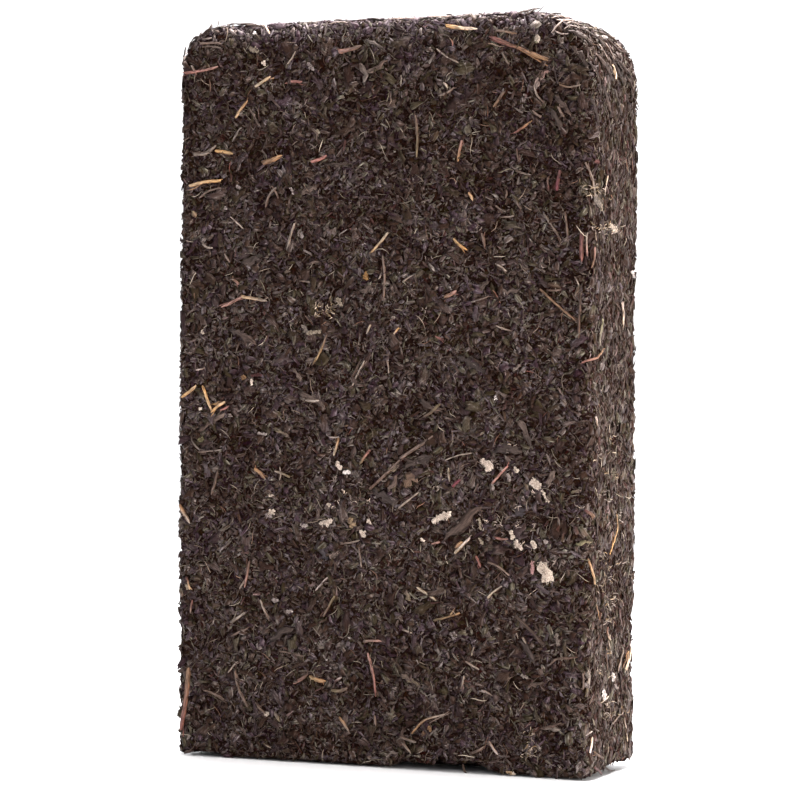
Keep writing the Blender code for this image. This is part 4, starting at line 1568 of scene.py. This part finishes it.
# Painted shade: the nearly black colour of the gaps between the bed's shreds.
GAP_PAINTED_SHADE_COLOUR = srgb(21, 11, 8)
SHEEN_TINT = (1.0, 0.74, 0.62, 1.0)
FLAKE_MARKS = (1.6, 3.4, 2.0)
FLAKE_SHIFT = 57.0
OWN_SHADE_SHARE = 0.60
NARROW_TINT = 0.16
# On the narrow sides the flakes are lighter, partly from the edge-on layers' own colour and partly as
# painted light.
NARROW_PALENESS_AND_PAINTED_LIGHT = 0.05
# Streaks along the grain, which also darken the creases of the same relief and lighten its ridges as painted
# shade and light.
FIBRE_AND_CREASE_SHADE_SWING = 1.5
# How much the light wisps and the painted rim highlight lighten a flake.
WISP_AND_RIM_HIGHLIGHT_LIGHTENING = 0.42
WISP_LEVELS = (0.56, 0.66)
# Painted highlight along each flake's rim: where it begins and where it is full, and how far it wavers.
RIM_HIGHLIGHT_LEVELS = (0.46, 0.60)
RIM_HIGHLIGHT_WAVINESS = 0.35
STEM_GRAIN = (500.0, 2600.0, 1.0)
STEM_WEAR = (0.35, 0.62, 0.30, 1.15)
STEM_SIDE_SHADE = (0.3, 0.95, 0.0, 0.8)
FLECK_GRAIN = 2600.0
FLECK_WEAR = (0.33, 0.58, 0.5, 1.1)
SHRED_WANDER = 0.0004
SHRED_WANDER_SCALE = 900.0
SHRED_SHIFT = 9.7
SHRED_GAP_LEVEL = 0.15
SHRED_TOP_LEVEL = 0.55
SHRED_LAYERS = (
    # direction in degrees, and the cells' length, width and depth
    (12.0, 0.0034, 0.0010, 0.0006),
    (74.0, 0.0028, 0.0007, 0.0005),
    (130.0, 0.0031, 0.0008, 0.0005),
    (163.0, 0.0022, 0.0006, 0.0004),
    (45.0, 0.0024, 0.0006, 0.0004),
)


def leaf_tone_group():
    """A leaf colour from two numbers: the tint picks the hue, the shade sets how light it is. Near the top
    it adds painted light from above, paler and greyer, and from 0.13 m up painted shade that darkens the
    leaf a little.
    """
    inputs = (
        ("Tint", "Float", 0.5),
        ("Shade", "Float", 0.5),
        ("Darkest", "Float", 0.08),
        ("Lightest", "Float", 0.35),
    )
    tree, given, out = new_group("leaf_tone", "ShaderNodeTree", inputs, (("Colour", "Color"),))
    place = object_place(tree)
    swings = channels_of(tree, noise_of(tree, place, REGION_SCALE, 2.0, 0.6)["Color"])
    height = axes_of(tree, place)["Z"]
    # painted light: the leaf near the top is made paler and greyer
    top = carried(tree, height, *TOP_PAINTED_LIGHT_ZONE)
    swing = swung(tree, swings[0], REGION_SHADE_SWING)
    swing = maths(tree, "MULTIPLY_ADD", top, TOP_PAINTED_LIGHT, swing)
    # painted shade: darker from 0.13 m up
    swing = maths(tree, "ADD", swing, carried(tree, height, *UPPER_PAINTED_SHADE_ZONE, 0.0, UPPER_PAINTED_SHADE))
    drift = swung(tree, swings[1], REGION_TINT_SWING)
    drift = maths(tree, "MULTIPLY_ADD", top, TOP_PAINTED_LIGHT_TINT, drift)
    shade = add_node(tree, "ShaderNodeClamp", {0: maths(tree, "ADD", given["Shade"], swing)}).outputs[0]
    tint = add_node(tree, "ShaderNodeClamp", {0: maths(tree, "ADD", given["Tint"], drift)}).outputs[0]
    stops = [(at, tuple(0.5 + value / CAST_UNIT for value in cast) + (1.0,)) for at, cast in LEAF_CASTS]
    cast = vector_maths(tree, "SUBTRACT", ramp_of(tree, tint, stops), HALVES)
    light = blend(tree, maths(tree, "POWER", shade, SHADE_BIAS), given["Darkest"], given["Lightest"])
    strength = carried(tree, light, DARK_LEVEL, LIGHT_LEVEL, CAST_IN_DARKS, CAST_IN_LIGHTS)
    cast = scaled(tree, cast, maths(tree, "MULTIPLY", strength, CAST_UNIT / 255.0))
    colour = vector_maths(tree, "ADD", cast, even(tree, light))
    colour = vector_maths(tree, "MAXIMUM", colour, (LEAST_LIGHT,) * 3)
    colour = add_node(tree, "ShaderNodeGamma", {0: colour, 1: DISPLAY_GAMMA}).outputs[0]
    tree.links.new(colour, out["Colour"])
    return tree


def shred_bed_group():
    """Solid pattern of pressed shreds: long thin cells that lie in layers across the thickness.

    Each layer of cells runs its own way. The highest cell at a place gives the tint and shade there.
    """
    outputs = (("Tint", "Float"), ("Shade", "Float"), ("Height", "Float"))
    tree, given, out = new_group("shred_bed", "ShaderNodeTree", (("Place", "Vector", None),), outputs)
    wander = noise_of(tree, given["Place"], SHRED_WANDER_SCALE, 2.0, 0.5)["Color"]
    drift = scaled(tree, vector_maths(tree, "SUBTRACT", wander, HALVES), SHRED_WANDER)
    place = vector_maths(tree, "ADD", given["Place"], drift)
    tint = shade = height = None
    for number, (degrees, length, width, depth) in enumerate(SHRED_LAYERS):
        inputs = {"Vector": place, "Angle": math.radians(degrees)}
        turned = add_node(tree, "ShaderNodeVectorRotate", inputs, rotation_type="Y_AXIS").outputs[0]
        cells = vector_maths(tree, "MULTIPLY", turned, (1 / length, 1 / depth, 1 / width))
        cells = vector_maths(tree, "ADD", cells, (number * SHRED_SHIFT, 0.0, 0.0))
        cell = add_node(tree, "ShaderNodeTexVoronoi", {"Vector": cells, "Scale": 1.0}).outputs
        own = channels_of(tree, cell["Color"])
        top = maths(tree, "SUBTRACT", own[0], cell["Distance"])
        if height is None:
            tint, shade, height = own[1], own[2], top
            continue
        above = maths(tree, "GREATER_THAN", top, height)
        tint = blend(tree, above, tint, own[1])
        shade = blend(tree, above, shade, own[2])
        height = maths(tree, "MAXIMUM", height, top)
    tree.links.new(tint, out["Tint"])
    tree.links.new(shade, out["Shade"])
    tree.links.new(carried(tree, height, SHRED_GAP_LEVEL, SHRED_TOP_LEVEL), out["Height"])
    return tree


def wisp_group():
    """Fine marks along a flake: streaks over its face, a few light wisps and a painted highlight along its
    rim.
    """
    inputs = (("Grain", "Vector", None), ("Own", "Float", None), ("Fineness", "Float", 1.0))
    outputs = (("Streaks", "Float"), ("Wisps", "Float"))
    tree, given, out = new_group("wisps", "ShaderNodeTree", inputs, outputs)
    shift = even(tree, maths(tree, "MULTIPLY", given["Own"], FLAKE_SHIFT))
    finer = scaled(tree, given["Grain"], given["Fineness"])
    lines = vector_maths(tree, "MULTIPLY_ADD", finer, FLAKE_MARKS, shift)
    streaks, wisps, waves = channels_of(tree, noise_of(tree, lines, 1.0, 2.0, 0.65)["Color"])
    wisps = carried(tree, wisps, *WISP_LEVELS)
    edge = maths(tree, "ABSOLUTE", axes_of(tree, given["Grain"])["Y"])
    # painted highlight: the flake is made lighter along its rim, as where a curled edge catches light
    rim = carried(tree, maths(tree, "MULTIPLY_ADD", waves, RIM_HIGHLIGHT_WAVINESS, edge), *RIM_HIGHLIGHT_LEVELS)
    tree.links.new(streaks, out["Streaks"])
    tree.links.new(maths(tree, "MAXIMUM", wisps, rim), out["Wisps"])
    return tree


def new_material(name, roughness, gloss):
    """A node material with these surface constants, as its tree and shader."""
    material = bpy.data.materials.new(name)
    material.use_nodes = True
    shader = material.node_tree.nodes["Principled BSDF"]
    shader.inputs["Roughness"].default_value = roughness
    shader.inputs["Specular IOR Level"].default_value = gloss
    shader.inputs["Specular Tint"].default_value = SHEEN_TINT
    return material, material.node_tree, shader


def coat(tree, shader, colour, height=None, depth=0.0):
    """Gives a shader its colour, and relief of this depth."""
    tree.links.new(colour, shader.inputs["Base Color"])
    if height is not None:
        inputs = {"Height": height, "Distance": depth, "Strength": RELIEF_STRENGTH}
        tree.links.new(add_node(tree, "ShaderNodeBump", inputs).outputs[0], shader.inputs["Normal"])


def bed_finish(tone, shreds):
    """Crushed leaf: each shred has its own tone, and the gaps between are painted nearly black as shade."""
    material, tree, shader = new_material("crushed_leaf", 0.7, 0.0)
    pattern = use(tree, shreds, Place=object_place(tree))
    colour = use(tree, tone, Tint=pattern["Tint"], Shade=pattern["Shade"], Darkest=0.09, Lightest=0.34)
    # painted shade: the low parts of the shred pattern are coloured nearly black
    gaps_painted_dark = colour_blend(tree, pattern["Height"], GAP_PAINTED_SHADE_COLOUR, colour[0])
    coat(tree, shader, gaps_painted_dark, pattern["Height"], 0.0003)
    return material


def flake_finish(name, tone, wisps, hues, light, fineness=1.0):
    """Dry leaf flakes: a hue and shade of their own between the given ends, finely marked. The marks that
    follow their relief are partly grain and partly painted shade in its creases and painted light on its
    ridges; the rims get a painted highlight, and the narrow sides are made lighter partly as painted light.
    """
    material, tree, shader = new_material(name, 0.5, 0.1)
    shade = attribute(tree, "shade")
    narrow = attribute(tree, "narrow")
    marks = use(tree, wisps, Grain=attribute(tree, "grain", "Vector"), Own=shade, Fineness=fineness)
    tint = blend(tree, attribute(tree, "tint"), *hues)
    tint = maths(tree, "MULTIPLY_ADD", narrow, NARROW_TINT, tint)
    # grain streaks, with painted shade in the creases of the relief and painted light on its ridges
    swing = swung(tree, marks["Streaks"], FIBRE_AND_CREASE_SHADE_SWING)
    shade = maths(tree, "MULTIPLY_ADD", shade, OWN_SHADE_SHARE, swing)
    lighter = maths(tree, "MULTIPLY", marks["Wisps"], WISP_AND_RIM_HIGHLIGHT_LIGHTENING)
    # lighter on the narrow sides: partly their own colour, partly painted light
    lighter = maths(tree, "MULTIPLY_ADD", narrow, NARROW_PALENESS_AND_PAINTED_LIGHT, lighter)
    shade = maths(tree, "ADD", shade, lighter)
    colour = use(tree, tone, Tint=tint, Shade=shade, Darkest=light[0], Lightest=light[1])
    coat(tree, shader, colour[0], marks["Streaks"], 0.0004)
    return material


def thread_finish():
    """Fine shreds of stalk in the colours of the larger stems."""
    material, tree, shader = new_material("stalk_threads", 0.6, 0.15)
    hues = ramp_of(tree, attribute(tree, "tint"), THREAD_HUES)
    # lighter on the narrow sides: partly their own colour, partly painted light
    bias = maths(tree, "MULTIPLY_ADD", attribute(tree, "narrow"), NARROW_THREAD_PALENESS_AND_PAINTED_LIGHT, THREAD_BIAS)
    rise = maths(tree, "POWER", attribute(tree, "shade"), bias)
    coat(tree, shader, scaled(tree, hues, blend(tree, rise, *THREAD_LIGHT)))
    return material


def stem_finish():
    """Dry stalk: its own colour along the top, made darker and warmer at the sides as painted shade, grained
    along its length.
    """
    material, tree, shader = new_material("dry_stems", 0.55, 0.2)
    streaks = vector_maths(tree, "MULTIPLY", attribute(tree, "grain", "Vector"), STEM_GRAIN)
    fibre = noise_of(tree, streaks, 1.0, 3.0, 0.6)[0]
    worn = scaled(tree, attribute(tree, "tone", "Color"), carried(tree, fibre, *STEM_WEAR))
    side_shaded = vector_maths(tree, "MULTIPLY", worn, SIDE_SHADE_TINT)
    # painted shade: darker and warmer towards the sides
    rind = carried(tree, attribute(tree, "rind"), *STEM_SIDE_SHADE)
    coat(tree, shader, colour_blend(tree, rind, worn, side_shaded), fibre, 0.0002)
    return material


def fleck_finish():
    """Torn pith and bloom: chalky and speckled."""
    material, tree, shader = new_material("pale_flecks", 0.85, 0.1)
    speckle = noise_of(tree, object_place(tree), FLECK_GRAIN, 3.0, 0.7)[0]
    worn = scaled(tree, attribute(tree, "tone", "Color"), carried(tree, speckle, *FLECK_WEAR))
    coat(tree, shader, worn, speckle, 0.0003)
    return material


# ---------------------------------------------------------------- stage and light

FLOOR_RADIUS = 1.7
COVE_RADIUS = 0.5
COVE_STEPS = 12
WALL_HEIGHT = 1.0
STAGE_TURNS = 96
SURROUNDINGS = 0.5
BRICK_MIDDLE = (0.0, 0.0, 0.13)
WARM_WHITE = (1.0, 0.95, 0.89)
SOFTBOXES = (
    # name, place, what it looks at, size, power and colour
    ("key", (1.10, -0.30, 0.28), BRICK_MIDDLE, 0.6, 19.0, WARM_WHITE),
    ("front", (-0.5, -1.2, 0.8), BRICK_MIDDLE, 0.5, 5.0, (0.97, 0.98, 1.0)),
    ("top", (0.06, 0.10, 0.82), BRICK_MIDDLE, 0.45, 38.0, (1.0, 0.98, 0.97)),
    ("low", (0.27, -0.09, 0.05), (0.07, 0.0, 0.03), 0.08, 0.20, WARM_WHITE),
    ("backdrop", (0.0, 1.0, 1.3), (0.0, 2.2, 0.4), 1.2, 26.0, (1.0, 1.0, 1.0)),
)


def pale_stage():
    """A pale round floor that curves up into a backdrop all round."""
    profile = [(0.0, 0.0), (FLOOR_RADIUS, 0.0)]
    for step in range(1, COVE_STEPS + 1):
        angle = math.pi / 2 * step / COVE_STEPS
        profile.append((FLOOR_RADIUS + COVE_RADIUS * math.sin(angle), COVE_RADIUS * (1 - math.cos(angle))))
    profile.append((FLOOR_RADIUS + COVE_RADIUS, COVE_RADIUS + WALL_HEIGHT))
    bm = bmesh.new()
    verts = [bm.verts.new((x, 0.0, z)) for x, z in profile]
    edges = [bm.edges.new(pair) for pair in zip(verts, verts[1:])]
    spin = dict(cent=(0, 0, 0), axis=(0, 0, 1), angle=math.tau, steps=STAGE_TURNS, use_merge=True)
    bmesh.ops.spin(bm, geom=verts + edges, **spin)
    bmesh.ops.remove_doubles(bm, verts=bm.verts[:], dist=0.0001)
    bmesh.ops.recalc_face_normals(bm, faces=bm.faces[:])
    mesh = finished(bm, bpy.data.meshes.new("pale_stage"))
    mesh.shade_smooth()
    material = bpy.data.materials.new("pale_stage")
    material.use_nodes = True
    shader = material.node_tree.nodes["Principled BSDF"]
    shader.inputs["Base Color"].default_value = srgb(224, 224, 226)
    shader.inputs["Roughness"].default_value = 0.25
    mesh.materials.append(material)
    show("pale_stage", mesh)


def light_stage():
    """White surroundings, a large key from the right and above, and weaker softboxes around."""
    scene = bpy.context.scene
    scene.world = bpy.data.worlds.new("studio")
    scene.world.use_nodes = True
    background = scene.world.node_tree.nodes["Background"]
    background.inputs["Color"].default_value = (1.0, 1.0, 1.0, 1.0)
    background.inputs["Strength"].default_value = SURROUNDINGS
    for name, place, target, size, power, colour in SOFTBOXES:
        data = bpy.data.lights.new(name, "AREA")
        data.shape = "SQUARE"
        data.size = size
        data.energy = power
        data.color = colour
        light = show(name, data)
        light.location = place
        light.rotation_euler = (Vector(target) - light.location).to_track_quat("-Z", "Y").to_euler()
    scene.view_settings.view_transform = "Standard"


# ---------------------------------------------------------------- putting the brick together

SMOOTH_KINDS = ("slab", "flake", "wisp")
SCATTERED = (
    # name, shapes, finish, slot, and the tree's values
    ("leaf_slabs", "slab", "slab", "leaf_chips", dict(
        Per_Square_Metre=24000.0, Share_on_Narrow_Sides=0.4, Greatest_Lift=0.0007,
        Least_Length=0.0034, Greatest_Length=0.0078, Least_Slenderness=0.30, Greatest_Slenderness=0.72,
        Tilt=0.14, Tilt_on_Narrow_Sides=0.22, Stray_on_Narrow_Sides=0.75, Seed=100,
    )),
    ("dark_flakes", "flake", "dark", "leaf_chips", dict(
        Per_Square_Metre=116000.0, Share_on_Narrow_Sides=0.6, Size_on_Narrow_Sides=1.3,
        Least_Length=0.0016, Greatest_Length=0.0042, Least_Slenderness=0.36, Greatest_Slenderness=0.75,
        Least_Lift=-0.0002, Greatest_Lift=0.0007,
        Tilt=0.22, Tilt_on_Narrow_Sides=0.35, Stray_on_Narrow_Sides=0.8, Seed=200,
    )),
    ("grey_flakes", "flake", "grey", "leaf_chips", dict(
        Per_Square_Metre=86000.0, Share_on_Narrow_Sides=0.75, Size_on_Narrow_Sides=1.3,
        Least_Length=0.0016, Greatest_Length=0.0040, Least_Slenderness=0.30, Greatest_Slenderness=0.66,
        Least_Lift=-0.0001, Greatest_Lift=0.0008,
        Tilt=0.22, Tilt_on_Narrow_Sides=0.35, Stray_on_Narrow_Sides=0.8, Seed=250,
    )),
    ("dark_shreds", "shred", "dark", "leaf_chips", dict(
        Per_Square_Metre=165000.0, Share_on_Narrow_Sides=0.85, Size_on_Narrow_Sides=1.2,
        Least_Length=0.0013, Greatest_Length=0.0046, Least_Slenderness=0.12, Greatest_Slenderness=0.36,
        Least_Lift=-0.0001, Greatest_Lift=0.0008,
        Tilt=0.22, Tilt_on_Narrow_Sides=0.35, Stray_on_Narrow_Sides=0.75, Seed=300,
    )),
    ("brown_shreds", "shred", "brown", "leaf_chips", dict(
        Per_Square_Metre=95000.0, Share_on_Narrow_Sides=1.4, Size_on_Narrow_Sides=1.2,
        Least_Length=0.0012, Greatest_Length=0.0042, Least_Slenderness=0.10, Greatest_Slenderness=0.30,
        Greatest_Lift=0.0008,
        Tilt=0.22, Tilt_on_Narrow_Sides=0.35, Stray_on_Narrow_Sides=0.75, Seed=400,
    )),
    ("olive_flakes", "flake", "olive", "leaf_chips", dict(
        Per_Square_Metre=26000.0, Share_on_Narrow_Sides=1.6, Size_on_Narrow_Sides=1.2,
        Least_Length=0.0020, Greatest_Length=0.0055, Least_Slenderness=0.22, Greatest_Slenderness=0.5,
        Greatest_Lift=0.0008,
        Tilt=0.2, Tilt_on_Narrow_Sides=0.35, Stray_on_Narrow_Sides=0.8, Seed=500,
    )),
    ("stalk_threads", "wisp", "thread", "stems", dict(
        Per_Square_Metre=48000.0, Share_on_Narrow_Sides=1.1,
        Least_Length=0.0014, Greatest_Length=0.0056, Least_Slenderness=0.30, Greatest_Slenderness=0.60,
        Least_Lift=0.0002, Greatest_Lift=0.0009,
        Tilt=0.10, Tilt_on_Narrow_Sides=0.2, Stray_on_Narrow_Sides=0.75, Seed=600,
    )),
    # Leaf crumbs in their own colours; the lightest of them are painted glints of light.
    ("leaf_crumbs", "crumb", "crumb", "leaf_chips", dict(
        Per_Square_Metre=100000.0, Share_on_Narrow_Sides=1.2, Relief=0.8,
        Least_Length=0.0003, Greatest_Length=0.0012, Least_Slenderness=0.5, Greatest_Slenderness=0.9,
        Greatest_Lift=0.0007,
        Tilt=0.6, Tilt_on_Narrow_Sides=0.6, Stray_on_Narrow_Sides=0.8, Seed=700,
    )),
)


def build():
    """The camera, the stage and the whole brick."""
    place_camera()
    pale_stage()
    light_stage()

    tone = leaf_tone_group()
    wisps = wisp_group()
    finishes = {
        "slab": flake_finish("slab_leaf", tone, wisps, (0.05, 0.8), (0.11, 0.315), 3.0),
        "dark": flake_finish("dark_leaf", tone, wisps, (0.0, 0.5), (0.10, 0.335)),
        "grey": flake_finish("grey_leaf", tone, wisps, (0.1, 0.7), (0.115, 0.42)),
        "brown": flake_finish("brown_leaf", tone, wisps, (0.25, 1.0), (0.13, 0.46)),
        "olive": flake_finish("olive_leaf", tone, wisps, (0.68, 0.86), (0.13, 0.39)),
        # the crumbs' lightest end reaches higher than the other leaf, as painted glints
        "crumb": flake_finish("leaf_crumb", tone, wisps, (0.0, 0.9), (0.08, 0.54)),
        "thread": thread_finish(),
    }
    crumb_rng = random.Random(23)
    kinds = {
        "slab": shapes("slab", 14, flake_shape, random.Random(20), 11, 0.07, 0.58, 0.14, 1),
        "flake": shapes("flake", 14, flake_shape, random.Random(21), 7, 0.20, 0.38, 0.20),
        "shred": shapes("shred", 12, flake_shape, random.Random(22), 4, 0.55, 0.30, 0.25),
        "crumb": shapes("crumb", 8, crumb_shape, crumb_rng),
        "wisp": shapes("wisp", 12, wisp_shape, crumb_rng),
    }
    bed = bed_of_leaf()
    bed.data.materials.append(bed_finish(tone, shred_bed_group()))
    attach(bed, "root")
    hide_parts("tea_brick")

    tree = scatter_tree()
    for name, kind, finish, slot, values in SCATTERED:
        values = dict(values, Shapes=kinds[kind], Finish=finishes[finish])
        values["Kinds_of_Shape"] = len(kinds[kind].objects)
        piece = pressed_on(name, tree, bed, kind in SMOOTH_KINDS, **values)
        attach(piece, "root")
    for name, mesh, finish in (
        ("stems", stems_mesh(), stem_finish()),
        ("pale_flecks", flecks_mesh(), fleck_finish()),
    ):
        mesh.materials.append(finish)
        piece = show(name, mesh)
        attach(piece, "root")
    for collection in kinds.values():
        for shape in list(collection.objects):
            bpy.data.objects.remove(shape)
        bpy.data.collections.remove(collection)


build()
